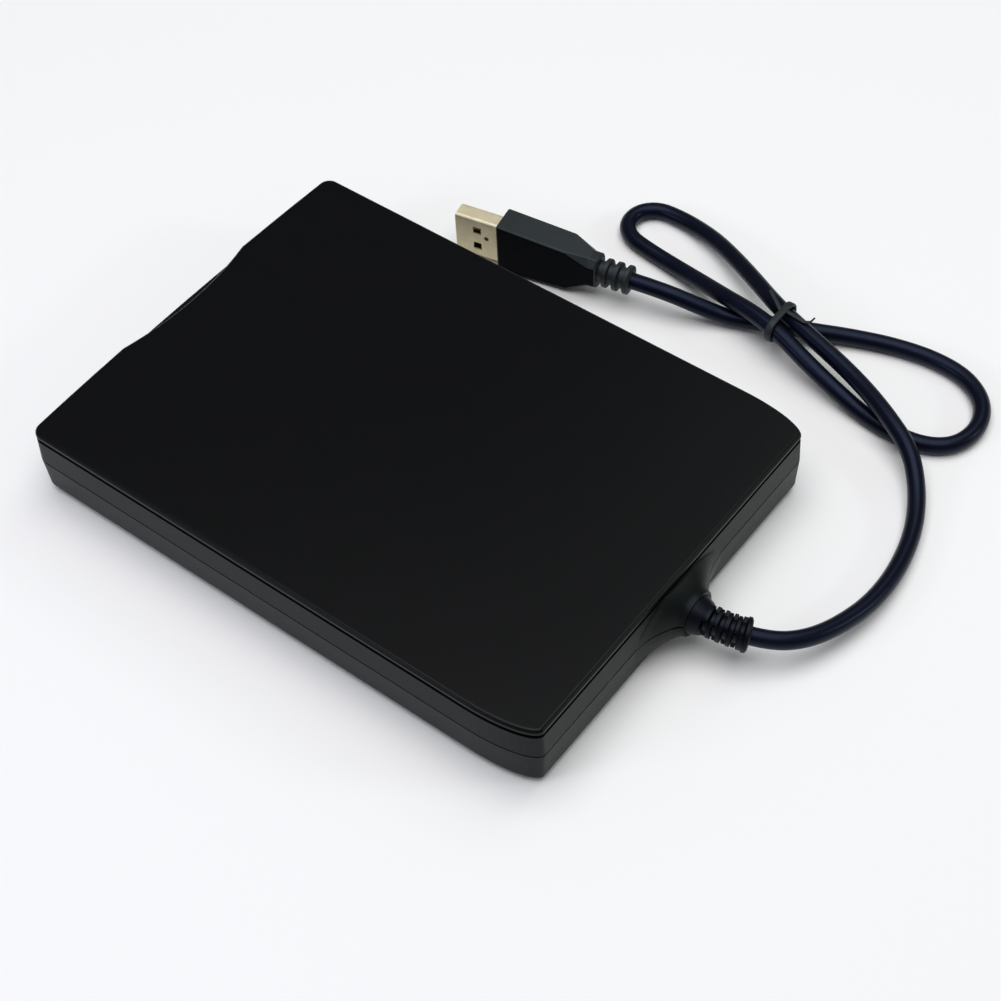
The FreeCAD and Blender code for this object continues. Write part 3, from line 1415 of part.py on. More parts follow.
parts = {
    "lower_shell": lower_shell,
    "upper_shell": upper_shell,
    "top_panel": top_panel,
    "front_bezel": front_bezel,
    "slot_door": slot_door,
    "door_spring": door_spring,
    "eject_button": eject_button,
    "led_lens": led_lens,
    "status_led": status_led,
    "rubber_feet": rubber_feet,
    "case_screws": case_screws,
    "strain_relief": strain_relief,
    "cable": cable,
    "cable_tie": cable_tie,
    "plug_overmould": plug_overmould,
    "plug_shell": plug_shell,
    "plug_tongue": plug_tongue,
    "plug_contacts": plug_contacts,
    "drive_chassis": drive_chassis,
    "chassis_screws": chassis_screws,
    "eject_slider": eject_slider,
    "slider_springs": slider_springs,
    "disk_holder": disk_holder,
    "holder_pins": holder_pins,
    "shutter_lever": shutter_lever,
    "lever_pivot_pin": lever_pivot_pin,
    "lever_spring": lever_spring,
    "spindle_board": spindle_board,
    "stator_coils": stator_coils,
    "spindle_bearing": spindle_bearing,
    "spindle_rotor": spindle_rotor,
    "rotor_magnet": rotor_magnet,
    "spindle_hub": spindle_hub,
    "spindle_shaft": spindle_shaft,
    "drive_pin": drive_pin,
    "head_carriage": head_carriage,
    "lower_head": lower_head,
    "upper_head_arm": upper_head_arm,
    "upper_head": upper_head,
    "guide_rod": guide_rod,
    "rod_clamps": rod_clamps,
    "lead_screw": lead_screw,
    "screw_bearing": screw_bearing,
    "stepper_motor": stepper_motor,
    "main_board": main_board,
    "board_chips": board_chips,
    "usb_board": usb_board,
    "usb_chips": usb_chips,
    "ribbon_cable": ribbon_cable,
    "ribbon_connectors": ribbon_connectors,
    "wire_connector": wire_connector,
    "internal_wires": internal_wires,
    "sense_switches": sense_switches,
    "write_protect_plunger": lambda: plunger("write_protect"),
    "density_plunger": lambda: plunger("density"),
    "disk_in_plunger": lambda: plunger("disk_in"),
    "track_zero_sensor": track_zero_sensor,
}

os.makedirs("parts", exist_ok=True)
for name, make in parts.items():
    shape = make()
    if not shape.isValid():
        print("not valid:", name)
    shape.exportStep("parts/" + name + ".step")
    bounds = shape.BoundBox
    print("%-22s solids %d  x %.2f %.2f  y %.2f %.2f  z %.2f %.2f" % (
        name, len(shape.Solids), bounds.XMin, bounds.XMax, bounds.YMin, bounds.YMax,
        bounds.ZMin, bounds.ZMax))
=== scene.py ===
import json
import math
import bmesh
import bpy
import numpy as np
from mathutils import Matrix, Vector


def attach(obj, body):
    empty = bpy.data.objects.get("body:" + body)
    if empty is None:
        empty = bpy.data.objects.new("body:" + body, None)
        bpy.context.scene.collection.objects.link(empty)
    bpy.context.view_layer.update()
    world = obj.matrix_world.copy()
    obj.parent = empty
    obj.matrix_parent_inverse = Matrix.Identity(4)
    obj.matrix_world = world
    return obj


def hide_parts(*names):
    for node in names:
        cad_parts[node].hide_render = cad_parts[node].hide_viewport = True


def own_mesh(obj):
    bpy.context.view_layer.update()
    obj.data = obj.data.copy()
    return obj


# Slim external floppy disk drive with a captive USB lead.
# Metres, +Z up, the disk slot faces -Y and the lead leaves towards +Y.

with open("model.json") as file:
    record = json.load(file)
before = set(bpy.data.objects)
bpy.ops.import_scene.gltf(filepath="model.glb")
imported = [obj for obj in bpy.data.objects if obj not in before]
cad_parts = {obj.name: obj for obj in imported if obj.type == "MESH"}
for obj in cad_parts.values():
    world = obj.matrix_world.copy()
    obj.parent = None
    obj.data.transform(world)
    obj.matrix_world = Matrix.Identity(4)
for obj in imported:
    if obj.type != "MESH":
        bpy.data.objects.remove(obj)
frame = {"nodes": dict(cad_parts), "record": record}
nodes = frame["nodes"]
bodyOf = {node: body for body, names in frame["record"]["behaviour"]["bodies"].items() for node in names}
slotOf = {entry["node"]: entry["material_slot"] for entry in frame["record"]["subparts"]}
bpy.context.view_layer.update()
mm = 0.001      # finishes, sleeve, plug and tie are given in millimetres
print("frame loaded:", len(nodes), "nodes")


# camera and light

cameraView = {
    "place": (0.21892, 0.20715, 0.36067),
    "target": (-0.00631, 0.01785, 0.0),
    "roll": -3.39,              # degrees, turns the camera a little clockwise
    "focalLength": 74.0,
    "sensor": 36.0,
}


def addCamera(view):
    data = bpy.data.cameras.new("camera")
    data.lens = view["focalLength"]
    data.sensor_width = view["sensor"]
    data.clip_start = 0.01
    camera = bpy.data.objects.new("camera", data)
    bpy.context.scene.collection.objects.link(camera)
    aim = (Vector(view["target"]) - Vector(view["place"])).to_track_quat("-Z", "Y")
    turn = Matrix.Rotation(math.radians(view["roll"]), 4, "Z")
    camera.matrix_world = Matrix.Translation(view["place"]) @ aim.to_matrix().to_4x4() @ turn
    bpy.context.scene.camera = camera


softboxes = [
    # the main light, wide enough for faint, soft shadows
    {"name": "overhead", "place": (0.04, 0.02, 1.25), "size": (1.2, 1.2), "power": 13.7,
     "colour": "#ffffff"},
    # from the far side, a faint glow on the top plate, the grip and the lead
    {"name": "backGlow", "place": (-0.70, -0.02, 1.00), "size": (0.5, 0.5), "power": 1.2,
     "colour": "#f6fffa"},
    # draws a thin line along the rear edge of the top plate
    {"name": "rearStrip", "place": (-0.75, 1.20, 0.63), "size": (0.3, 0.2), "power": 2.2,
     "colour": "#f2fff6"},
    # draws one along the side edge, slightly blue
    {"name": "sideStrip", "place": (0.70, -0.37, 0.44), "size": (0.3, 0.2), "power": 1.1,
     "colour": "#dfe8ff"},
]
surroundings = {"colour": "#eff1f4", "strength": 0.21}
table = {"size": 8.0, "colour": "#f8f7f8", "roughness": 0.9, "specular": 0.1}


def linearColour(hexColour):
    # sRGB to linear: a straight line below 0.04045, a power of 2.4 above it
    channels = [int(hexColour[start:start + 2], 16) / 255 for start in (1, 3, 5)]
    return tuple(c / 12.92 if c <= 0.04045 else ((c + 0.055) / 1.055) ** 2.4 for c in channels) + (1.0,)


def addNode(tree, kind, settings=None, values=None, links=None):
    made = tree.nodes.new(kind)
    for key, value in (settings or {}).items():
        setattr(made, key, value)
    for socket, value in (values or {}).items():
        made.inputs[socket].default_value = value
    for socket, source in (links or {}).items():
        tree.links.new(source, made.inputs[socket])
    return made


def addLights():
    for box in softboxes:
        light = bpy.data.lights.new(box["name"], "AREA")
        light.shape = "RECTANGLE"
        light.size, light.size_y = box["size"]
        light.energy = box["power"]
        light.color = linearColour(box["colour"])[:3]
        holder = bpy.data.objects.new(box["name"], light)
        holder.location = box["place"]
        holder.rotation_mode = "QUATERNION"
        holder.rotation_quaternion = (-Vector(box["place"])).to_track_quat("-Z", "Y")
        bpy.context.scene.collection.objects.link(holder)
    world = bpy.data.worlds.new("studio")
    world.use_nodes = True
    background = world.node_tree.nodes["Background"]
    background.inputs["Color"].default_value = linearColour(surroundings["colour"])
    background.inputs["Strength"].default_value = surroundings["strength"]
    bpy.context.scene.world = world


def addTable():
    half = table["size"] / 2
    mesh = bpy.data.meshes.new("table")
    corners = [(-half, -half, 0), (half, -half, 0), (half, half, 0), (-half, half, 0)]
    mesh.from_pydata(corners, [], [(0, 1, 2, 3)])
    top = bpy.data.objects.new("table", mesh)
    bpy.context.scene.collection.objects.link(top)
    paint = bpy.data.materials.new("paperSweep")
    paint.use_nodes = True
    shader = paint.node_tree.nodes["Principled BSDF"]
    shader.inputs["Base Color"].default_value = linearColour(table["colour"])
    shader.inputs["Roughness"].default_value = table["roughness"]
    shader.inputs["Specular IOR Level"].default_value = table["specular"]
    mesh.materials.append(paint)


bpy.context.scene.view_settings.view_transform = "Standard"
addCamera(cameraView)
addLights()
addTable()
print("camera, lights and table set")


# materials

noiseSpan = {"From Min": 0.3, "From Max": 0.7}      # the part of a noise's values that is spread to 0..1
refractiveIndex = 1.5       # typical of plastics, and Blender's default, which metals keep
varnishRoughness = 0.2


def makeMaterial(name, spec):
    # noise on object coordinates mottles the colour, and a finer one varies the roughness and raises a
    # grain; mottle and grain are the sizes of their patterns and relief is the grain's height
    material = bpy.data.materials.new(name)
    material.use_nodes = True
    tree = material.node_tree
    shader = tree.nodes["Principled BSDF"]
    place = addNode(tree, "ShaderNodeTexCoord").outputs["Object"]
    if "stretch" in spec:
        place = addNode(tree, "ShaderNodeMapping", values={"Scale": spec["stretch"]},
                        links={"Vector": place}).outputs["Vector"]
    mottle = addNode(tree, "ShaderNodeTexNoise",
                     values={"Scale": 1 / (spec.get("mottle", 8.0) * mm), "Detail": 4.0, "Roughness": 0.6},
                     links={"Vector": place}).outputs["Fac"]
    grain = addNode(tree, "ShaderNodeTexNoise",
                    values={"Scale": 1 / (spec["grain"] * mm), "Detail": 3.0, "Roughness": 0.55},
                    links={"Vector": place}).outputs["Fac"]
    spread = addNode(tree, "ShaderNodeMapRange", values=noiseSpan,
                     links={"Value": mottle}).outputs["Result"]
    shades = {6: linearColour(spec["colour"]), 7: linearColour(spec["mottled"])}
    colour = addNode(tree, "ShaderNodeMix", {"data_type": "RGBA"}, shades, {0: spread}).outputs[2]
    low, high = spec["roughness"]
    rough = addNode(tree, "ShaderNodeMapRange", values={**noiseSpan, "To Min": low, "To Max": high},
                    links={"Value": grain}).outputs["Result"]
    bump = addNode(tree, "ShaderNodeBump", values={"Strength": 1.0, "Distance": spec["relief"] * mm},
                   links={"Height": grain}).outputs["Normal"]
    if "dent" in spec:
        # painted shade: the colour turns dark between the hollow's rim and its floor
        dent = spec["dent"]
        apart = addNode(tree, "ShaderNodeVectorMath", {"operation": "DISTANCE"},
                        {1: [value * mm for value in dent["place"]]}, {0: place}).outputs["Value"]
        shade = addNode(tree, "ShaderNodeMapRange",
                        values={"From Min": dent["floor"] * mm, "From Max": dent["rim"] * mm},
                        links={"Value": apart}).outputs["Result"]
        colour = addNode(tree, "ShaderNodeMix", {"data_type": "RGBA"}, {6: linearColour(dent["colour"])},
                         {0: shade, 7: colour}).outputs[2]
    tree.links.new(colour, shader.inputs["Base Color"])
    tree.links.new(rough, shader.inputs["Roughness"])
    tree.links.new(bump, shader.inputs["Normal"])
    shader.inputs["Metallic"].default_value = spec.get("metallic", 0.0)
    shader.inputs["IOR"].default_value = refractiveIndex
    shader.inputs["Specular Tint"].default_value = linearColour(spec.get("tint", "#ffffff"))
    shader.inputs["Specular IOR Level"].default_value = spec.get("specular", 0.5)
    shader.inputs["Coat Weight"].default_value = spec.get("coat", 0.0)
    shader.inputs["Coat Roughness"].default_value = varnishRoughness
    shader.inputs["Transmission Weight"].default_value = spec.get("transmission", 0.0)
    return material


# real grains are mostly finer than 0.1 mm; they are drawn coarser, mostly 0.2 to 0.5 mm, so that they show
finishes = {
    # ABS from a spark-eroded mould: dull black with a fine grain that greys at low angles
    "erodedAbs": {"colour": "#090b0b", "mottled": "#0d100f", "roughness": (0.34, 0.46), "grain": 0.35,
                  "relief": 0.008, "specular": 0.14, "tint": "#e2ecf0"},
    # ABS from a finely blasted mould: nearly black, almost no grain
    "blastedAbs": {"colour": "#040506", "mottled": "#060609", "roughness": (0.27, 0.33), "grain": 0.25,
                   "relief": 0.002, "specular": 0.14},
    # ABS from a smooth mould: satin black
    "smoothAbs": {"colour": "#0f1012", "mottled": "#131417", "roughness": (0.26, 0.34), "grain": 0.5,
                  "relief": 0.003, "specular": 0.35},
    # soft PVC pulled over the wires: satin blue-black with a faint waviness
    "extrudedPvc": {"colour": "#050812", "mottled": "#080c18", "roughness": (0.31, 0.37), "grain": 1.2,
                    "relief": 0.004, "specular": 0.22, "tint": "#b8c8ff"},
    # soft PVC moulded over the ends of the lead: duller, slate black
    "mouldedPvc": {"colour": "#1a1e20", "mottled": "#202425", "roughness": (0.46, 0.54), "grain": 0.4,
                   "relief": 0.005, "specular": 0.42, "tint": "#d8e2ee"},
    # the same PVC on the broad faces of the grip: blasted and less glossy, with its colour painted darker
    # as the shade on these faces, so it stays black
    "blastedPvc": {"colour": "#030406", "mottled": "#050608", "roughness": (0.40, 0.50), "grain": 0.3,
                   "relief": 0.004, "specular": 0.04, "tint": "#ccd6f4"},
    # the same PVC where it sleeves the lead at the drive: darker than on the grip
    "sleevePvc": {"colour": "#040609", "mottled": "#07090d", "roughness": (0.34, 0.42), "grain": 0.4,
                  "relief": 0.004, "specular": 0.17, "tint": "#ccd6f4"},
    # moulded rubber: flat dark grey
    "mouldedRubber": {"colour": "#141414", "mottled": "#1b1b1a", "roughness": (0.62, 0.78), "grain": 0.4,
                      "relief": 0.015},
    # nickel on folded steel: warm grey, dulled by handling
    "platedNickel": {"colour": "#d8ccac", "mottled": "#e6dcc0", "roughness": (0.50, 0.60), "grain": 0.5,
                     "relief": 0.003, "metallic": 0.85, "mottle": 3.0,
                     # a painted shade darkens the small hollow pressed into the shell
                     "dent": {"place": (-65.14, -31.16, 8.25), "rim": 0.8, "floor": 0.44,
                              "colour": "#2a241a"}},
    # hard gold over nickel: pale yellow, worn smooth
    "platedGold": {"colour": "#d9b25e", "mottled": "#e3c47c", "roughness": (0.2, 0.3), "grain": 0.3,
                   "relief": 0.002, "metallic": 1.0},
    # black nylon: slightly shiny, faintly mottled
    "blackNylon": {"colour": "#121110", "mottled": "#191715", "roughness": (0.35, 0.42), "grain": 0.4,
                   "relief": 0.004, "specular": 0.3},
    # zinc on cold-rolled sheet: pale grey with a cool cloudiness
    "zincedSheet": {"colour": "#a9acb0", "mottled": "#bcbfc3", "roughness": (0.28, 0.42), "grain": 0.6,
                    "relief": 0.004, "metallic": 1.0, "mottle": 5.0},
    # black zinc: dark oily sheen on the screws
    "blackZinc": {"colour": "#2b2b2d", "mottled": "#3a393b", "roughness": (0.3, 0.42), "grain": 0.3,
                  "relief": 0.004, "metallic": 1.0},
    # drawn spring wire: bright, with faint lines
    "drawnWire": {"colour": "#8d8e90", "mottled": "#a2a3a5", "roughness": (0.22, 0.32), "grain": 0.3,
                  "relief": 0.003, "metallic": 1.0},
    # ground stainless: clean and bright
    "groundStainless": {"colour": "#b9babc", "mottled": "#c6c7c9", "roughness": (0.14, 0.24), "grain": 0.4,
                        "relief": 0.002, "metallic": 1.0, "stretch": (1.0, 8.0, 1.0)},
    # bonded ferrite: charcoal, gritty
    "bondedFerrite": {"colour": "#1c1c1e", "mottled": "#2a2a2c", "roughness": (0.55, 0.7), "grain": 0.25,
                      "relief": 0.01},
    # enamelled copper winding: reddish brown under a clear varnish
    "varnishedCopper": {"colour": "#8a4a2a", "mottled": "#a5603a", "roughness": (0.3, 0.42), "grain": 0.2,
                        "relief": 0.012, "metallic": 0.8, "coat": 0.5},
    # sintered bronze: matt yellow-brown, open pores
    "sinteredBronze": {"colour": "#8f6a3c", "mottled": "#a47f4e", "roughness": (0.42, 0.56), "grain": 0.15,
                       "relief": 0.008, "metallic": 1.0},
    # glass-filled resin: dark grey with pale flow marks
    "filledResin": {"colour": "#1d1e20", "mottled": "#27292b", "roughness": (0.45, 0.6), "grain": 0.5,
                    "relief": 0.01},
    # acetal: waxy off-white
    "whiteAcetal": {"colour": "#d8d6cc", "mottled": "#e0ded4", "roughness": (0.36, 0.46), "grain": 0.5,
                    "relief": 0.004},
    # lapped ceramic: dark and glassy
    "lappedCeramic": {"colour": "#4a4540", "mottled": "#5a544e", "roughness": (0.08, 0.14), "grain": 0.3,
                      "relief": 0.001},
    # solder mask over glass laminate: green, glossy, with a woven unevenness
    "solderMask": {"colour": "#0d4a26", "mottled": "#11592e", "roughness": (0.22, 0.32), "grain": 0.5,
                   "relief": 0.006, "coat": 0.3},
    # moulded epoxy of a chip: charcoal, slightly rough
    "mouldedEpoxy": {"colour": "#141416", "mottled": "#1d1d20", "roughness": (0.5, 0.62), "grain": 0.2,
                     "relief": 0.006},
    # polyester film of the flat cable: white, smooth
    "flexFilm": {"colour": "#dfdfdc", "mottled": "#e8e8e5", "roughness": (0.2, 0.28), "grain": 0.8,
                 "relief": 0.003},
    # nylon socket: ivory
    "ivoryNylon": {"colour": "#cfc6a8", "mottled": "#d8cfb2", "roughness": (0.4, 0.5), "grain": 0.4,
                   "relief": 0.004},
    # PVC of the inner wires: red, slightly shiny
    "wirePvc": {"colour": "#7a1712", "mottled": "#8c1f18", "roughness": (0.32, 0.42), "grain": 0.6,
                "relief": 0.004},
    # tinted acrylic light pipe: green grey, lets light through
    "tintedAcrylic": {"colour": "#6f8f6a", "mottled": "#7a9c74", "roughness": (0.1, 0.16), "grain": 0.8,
                      "relief": 0.001, "transmission": 0.6},
    # cast epoxy of the indicator: clear green
    "castEpoxy": {"colour": "#7fb07a", "mottled": "#8cc086", "roughness": (0.08, 0.12), "grain": 0.8,
                  "relief": 0.001, "transmission": 0.7},
}
paints = {name: makeMaterial(name, spec) for name, spec in finishes.items()}
slotFinish = {
    "housing_plastic": "erodedAbs", "panel_plastic": "blastedAbs", "front_plastic": "erodedAbs",
    "door_plastic": "smoothAbs", "button_plastic": "smoothAbs", "lens_plastic": "tintedAcrylic",
    "led_epoxy": "castEpoxy", "foot_rubber": "mouldedRubber", "relief_rubber": "sleevePvc",
    "cord_jacket": "extrudedPvc", "tie_plastic": "mouldedPvc", "grip_pvc": "mouldedPvc",
    "usb_nickel": "platedNickel", "usb_insulator": "blackNylon", "contact_gold": "platedGold",
    "zinc_steel": "zincedSheet", "screw_steel": "blackZinc", "spring_steel": "drawnWire",
    "stainless": "groundStainless", "magnet_ferrite": "bondedFerrite", "coil_copper": "varnishedCopper",
    "bearing_bronze": "sinteredBronze", "carriage_plastic": "filledResin", "lever_plastic": "whiteAcetal",
    "head_ceramic": "lappedCeramic", "board_green": "solderMask", "chip_black": "mouldedEpoxy",
    "ribbon_white": "flexFilm", "socket_ivory": "ivoryNylon", "wire_jacket": "wirePvc",
}
print("materials made:", len(paints))


# surfaces

def addPiece(name, shape, node):
    # a piece that rides on a CAD node's body and takes its slot and finish
    piece = bpy.data.objects.new(name, shape)
    bpy.context.scene.collection.objects.link(piece)
    shape.materials.append(paints[slotFinish[slotOf[node]]])
    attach(piece, bodyOf[node])
    return piece


def standIn(name, shape, node):
    # the same, in place of the CAD node
    piece = addPiece(name, shape, node)
    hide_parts(node)
    return piece


def gridMesh(name, grid, sharpAngle):
    # grid[i, j] is place j round ring i; quads join neighbouring rings and one face closes each end
    rings, sides = grid.shape[:2]
    ring = np.arange(rings - 1)[:, None] * sides
    here = ring + np.arange(sides)[None, :]
    beside = ring + (np.arange(sides)[None, :] + 1) % sides
    quads = np.stack([here, beside, beside + sides, here + sides], axis=-1).reshape(-1, 4)
    ends = [list(range(sides - 1, -1, -1)), list(range((rings - 1) * sides, rings * sides))]
    mesh = bpy.data.meshes.new(name)
    mesh.from_pydata(grid.reshape(-1, 3).tolist(), [], quads.tolist() + ends)
    tidyMesh(mesh, sharpAngle)
    return mesh


def tidyMesh(mesh, sharpAngle):
    # doubles merged, faces turned outwards, smooth except across sharp edges
    work = bmesh.new()
    work.from_mesh(mesh)
    bmesh.ops.remove_doubles(work, verts=work.verts, dist=1e-7)
    bmesh.ops.recalc_face_normals(work, faces=work.faces)
    work.to_mesh(mesh)
    work.free()
    mesh.shade_smooth()
    mesh.set_sharp_from_angle(angle=math.radians(sharpAngle))


def smoothStep(value, low, high):
    # 0 below low, 1 above high, with a smooth cubic between
    share = np.clip((value - low) / (high - low), 0, 1)
    return share * share * (3 - 2 * share)


# lead

lead = {
    "diameter": 0.0041,
    "points": [
        (-0.002436, 0.086718, 0.008606), (-0.004434, 0.091242, 0.007872), (-0.0098, 0.0962, 0.0068),
        (-0.0176, 0.0994, 0.0054), (-0.028, 0.1015, 0.004), (-0.04, 0.101, 0.003),
        (-0.052, 0.098, 0.0023), (-0.0615, 0.093, 0.0034), (-0.068, 0.087, 0.006),
        (-0.073, 0.078, 0.0071), (-0.078, 0.0685, 0.0067), (-0.0815, 0.0585, 0.0071),
        (-0.0845, 0.0475, 0.0078), (-0.0877, 0.0385, 0.0078), (-0.093, 0.0295, 0.0062),
        (-0.0975, 0.021, 0.005), (-0.1013, 0.013, 0.0037), (-0.1036, 0.0055, 0.0025),
        (-0.1043, -0.0006, 0.0021), (-0.1038, -0.0062, 0.0021), (-0.1001, -0.0099, 0.0021),
        (-0.0949, -0.0099, 0.0021), (-0.0914, -0.0062, 0.0021), (-0.0903, -0.0002, 0.0021),
        (-0.0895, 0.0062, 0.0021), (-0.0881, 0.0132, 0.003), (-0.086, 0.02, 0.0048),
        (-0.0836, 0.0275, 0.0068), (-0.0822, 0.0355, 0.0078), (-0.08, 0.0445, 0.0078),
        (-0.0774, 0.0535, 0.0061), (-0.0758, 0.062, 0.004), (-0.0743, 0.0705, 0.0023),
        (-0.0731, 0.079, 0.0021), (-0.0739, 0.0873, 0.0021), (-0.0778, 0.0932, 0.0021),
        (-0.0853, 0.0952, 0.0021), (-0.0929, 0.0925, 0.0021), (-0.0979, 0.0855, 0.0021),
        (-0.0989, 0.0762, 0.0021), (-0.0971, 0.066, 0.0021), (-0.0934, 0.056, 0.0023),
        (-0.0882, 0.047, 0.0035), (-0.0846, 0.038, 0.0035), (-0.0819, 0.0298, 0.0025),
        (-0.079, 0.0226, 0.0049), (-0.076188, 0.014319, 0.0075), (-0.074581, 0.005972, 0.0075),
    ],
    "sides": 10,
    "steps": 8,
}


def makeLead():
    curve = bpy.data.curves.new("lead", "CURVE")
    curve.dimensions = "3D"
    spline = curve.splines.new("NURBS")
    spline.points.add(len(lead["points"]) - 1)
    for point, place in zip(spline.points, lead["points"]):
        point.co = (*place, 1.0)
    spline.order_u = 3
    spline.use_endpoint_u = True
    spline.resolution_u = lead["steps"]
    curve.bevel_depth = lead["diameter"] / 2
    curve.bevel_resolution = lead["sides"]
    curve.use_fill_caps = True
    return standIn("lead", curve, "cable")


leadPiece = makeLead()
print("lead laid")


# strain relief at the back

sleeve = {
    "exit": (0.0, 75.1, 9.5),       # tip of the boss
    "droop": (-0.937, 0.0, -0.344),     # the way it bends
    "bendRadius": 27.3,
    "seat": -5.2,                   # how far inside the boss the sleeve starts
    "end": 12.0,
    "collar": 4.62,                 # radius at the boss
    "waist": 3.62,                  # radius of the ribs
    "endRing": 3.92,
    "endRingWidth": 1.15,
    "collarEnd": 2.7,
    "firstSlot": 4.0,
    "slotPitch": 2.07,
    "slotCount": 4,
    "slotDepth": 1.2,
    "slotWidth": 1.0,
    "slotEdges": (0.1, 0.15),       # how far a slot's edge fades inwards and outwards
    "slotSector": (0.60, 0.70),     # sine, or cosine at the sides, where a slot begins and is full
    "ringFade": 0.1,                # half the length of the step up to the end ring
    "tipReach": 0.45,               # how far back the tip is rounded
    "tipDrop": 0.5,                 # and how far in
    "rings": 180,
    "sides": 96,
    "sharpAngle": 40.0,
}


def sleeveAxis(reach):
    # straight inside the boss, then an arc of the bend radius that droops to one side
    turn = np.maximum(reach, 0) / sleeve["bendRadius"]
    droop = np.array(sleeve["droop"]) / np.linalg.norm(sleeve["droop"])
    ahead = np.array([0.0, 1.0, 0.0])
    radius = sleeve["bendRadius"]
    straight = np.minimum(reach, 0)
    place = (np.array(sleeve["exit"]) + ahead * (straight + radius * np.sin(turn))[:, None]
             + droop * (radius * (1 - np.cos(turn)))[:, None])
    way = ahead * np.cos(turn)[:, None] + droop * np.sin(turn)[:, None]
    return place, way


def makeSleeve():
    # the radius falls along the collar, rises at the end ring and is rounded off at the tip; slots lie by
    # turns above and below, then left and right
    reach = np.linspace(sleeve["seat"], sleeve["end"], sleeve["rings"])
    place, way = sleeveAxis(reach)
    side = np.cross(way, [0.0, 0.0, 1.0])
    side /= np.linalg.norm(side, axis=1)[:, None]
    above = np.cross(side, way)
    around = np.linspace(0, 2 * np.pi, sleeve["sides"], endpoint=False)
    fall = np.clip(reach / sleeve["collarEnd"], 0, 1)
    radius = sleeve["collar"] + (sleeve["waist"] - sleeve["collar"]) * fall
    ringStart = sleeve["end"] - sleeve["endRingWidth"]
    fade = sleeve["ringFade"]
    ringRise = sleeve["endRing"] - sleeve["waist"]
    radius = radius + ringRise * smoothStep(reach, ringStart - fade, ringStart + fade)
    tip = smoothStep(reach, sleeve["end"] - sleeve["tipReach"], sleeve["end"])
    radius = radius - sleeve["tipDrop"] * tip ** 2
    inner = sleeve["slotWidth"] / 2 - sleeve["slotEdges"][0]
    outer = sleeve["slotWidth"] / 2 + sleeve["slotEdges"][1]

    def slotShare(shift):
        share = np.zeros_like(reach)
        for index in range(sleeve["slotCount"]):
            distance = np.abs(reach - sleeve["firstSlot"] - shift - index * sleeve["slotPitch"])
            share = np.maximum(share, 1 - smoothStep(distance, inner, outer))
        return share * (reach < ringStart - fade)

    topSector = smoothStep(np.abs(np.sin(around)), *sleeve["slotSector"])
    sideSector = smoothStep(np.abs(np.cos(around)), *sleeve["slotSector"])
    cutTop = slotShare(0.0)[:, None] * topSector[None, :]
    cutSide = slotShare(-sleeve["slotPitch"] / 2)[:, None] * sideSector[None, :]
    spread = radius[:, None] - sleeve["slotDepth"] * np.maximum(cutTop, cutSide)
    grid = (place[:, None, :] + side[:, None, :] * (spread * np.cos(around))[:, :, None]
            + above[:, None, :] * (spread * np.sin(around))[:, :, None])
    mesh = gridMesh("reliefSleeve", grid * mm, sleeve["sharpAngle"])
    return standIn("reliefSleeve", mesh, "strain_relief")


sleevePiece = makeSleeve()
print("strain relief made")


# plug

plug = {
    "root": (-68.0, -28.2, 7.5),    # middle of the grip's front face
    "heading": 100.9,               # degrees from +X towards the cord
    "height": 15.0,
    "thickness": 7.6,
    "rearHeight": 12.4,
    "rearThickness": 7.6,
    "gripLength": 18.5,
    "bodyLength": 26.5,
    "waistHeight": 9.2,
    "waistThickness": 6.6,
    "edge": 0.35,
    "waistEdge": 1.8,
    "waistLength": 2.4,
    "frontChamfer": 0.3,
    "endChamfer": 0.5,
    "softEdge": 0.22,
    "softAngle": 14,
    "sharpAngle": 12.0,
    "broadCosine": 0.97,            # least cosine between a broad face's normal and the plug's own Y
    "reliefEnd": 34.8,
    "reliefRadius": 2.75,
    "ringRadius": 3.75,
    "ringCount": 3,
    "ringShift": 0.30,              # of a pitch
    "ringSwell": (-0.1, 0.5),       # cosine of the phase where a ring begins and is full
    "ringFlatness": 0.94,
    "ringSharpAngle": 45.0,
    "ringSteps": 90,
    "ringSides": 64,
    "neckInside": 1.0,              # how far the neck starts inside the body
    "tipRounding": 0.3,
}


def plugPlace(points):
    # a plug's own X runs from its front face to the cord; turned about Z and set down at its root
    turn = math.radians(plug["heading"])
    x, y, z = points[..., 0], points[..., 1], points[..., 2]
    turnedX = x * math.cos(turn) - y * math.sin(turn)
    turnedY = x * math.sin(turn) + y * math.cos(turn)
    return (np.stack([turnedX, turnedY, z], axis=-1) + np.array(plug["root"])) * mm


def chamferedSection(x, halfThickness, halfHeight, edge):
    # eight corners of a rectangle with cut corners, in the plane at x
    y = np.array([1, 1, 1, -1, -1, -1, -1, 1]) * halfThickness
    z = np.array([-1, 1, 1, 1, 1, -1, -1, -1]) * halfHeight
    y = y + np.array([0, 0, -1, 1, 0, 0, 1, -1]) * edge
    z = z + np.array([1, -1, 0, 0, -1, 1, 0, 0]) * edge
    return np.stack([np.full(8, x), y, z], axis=-1)


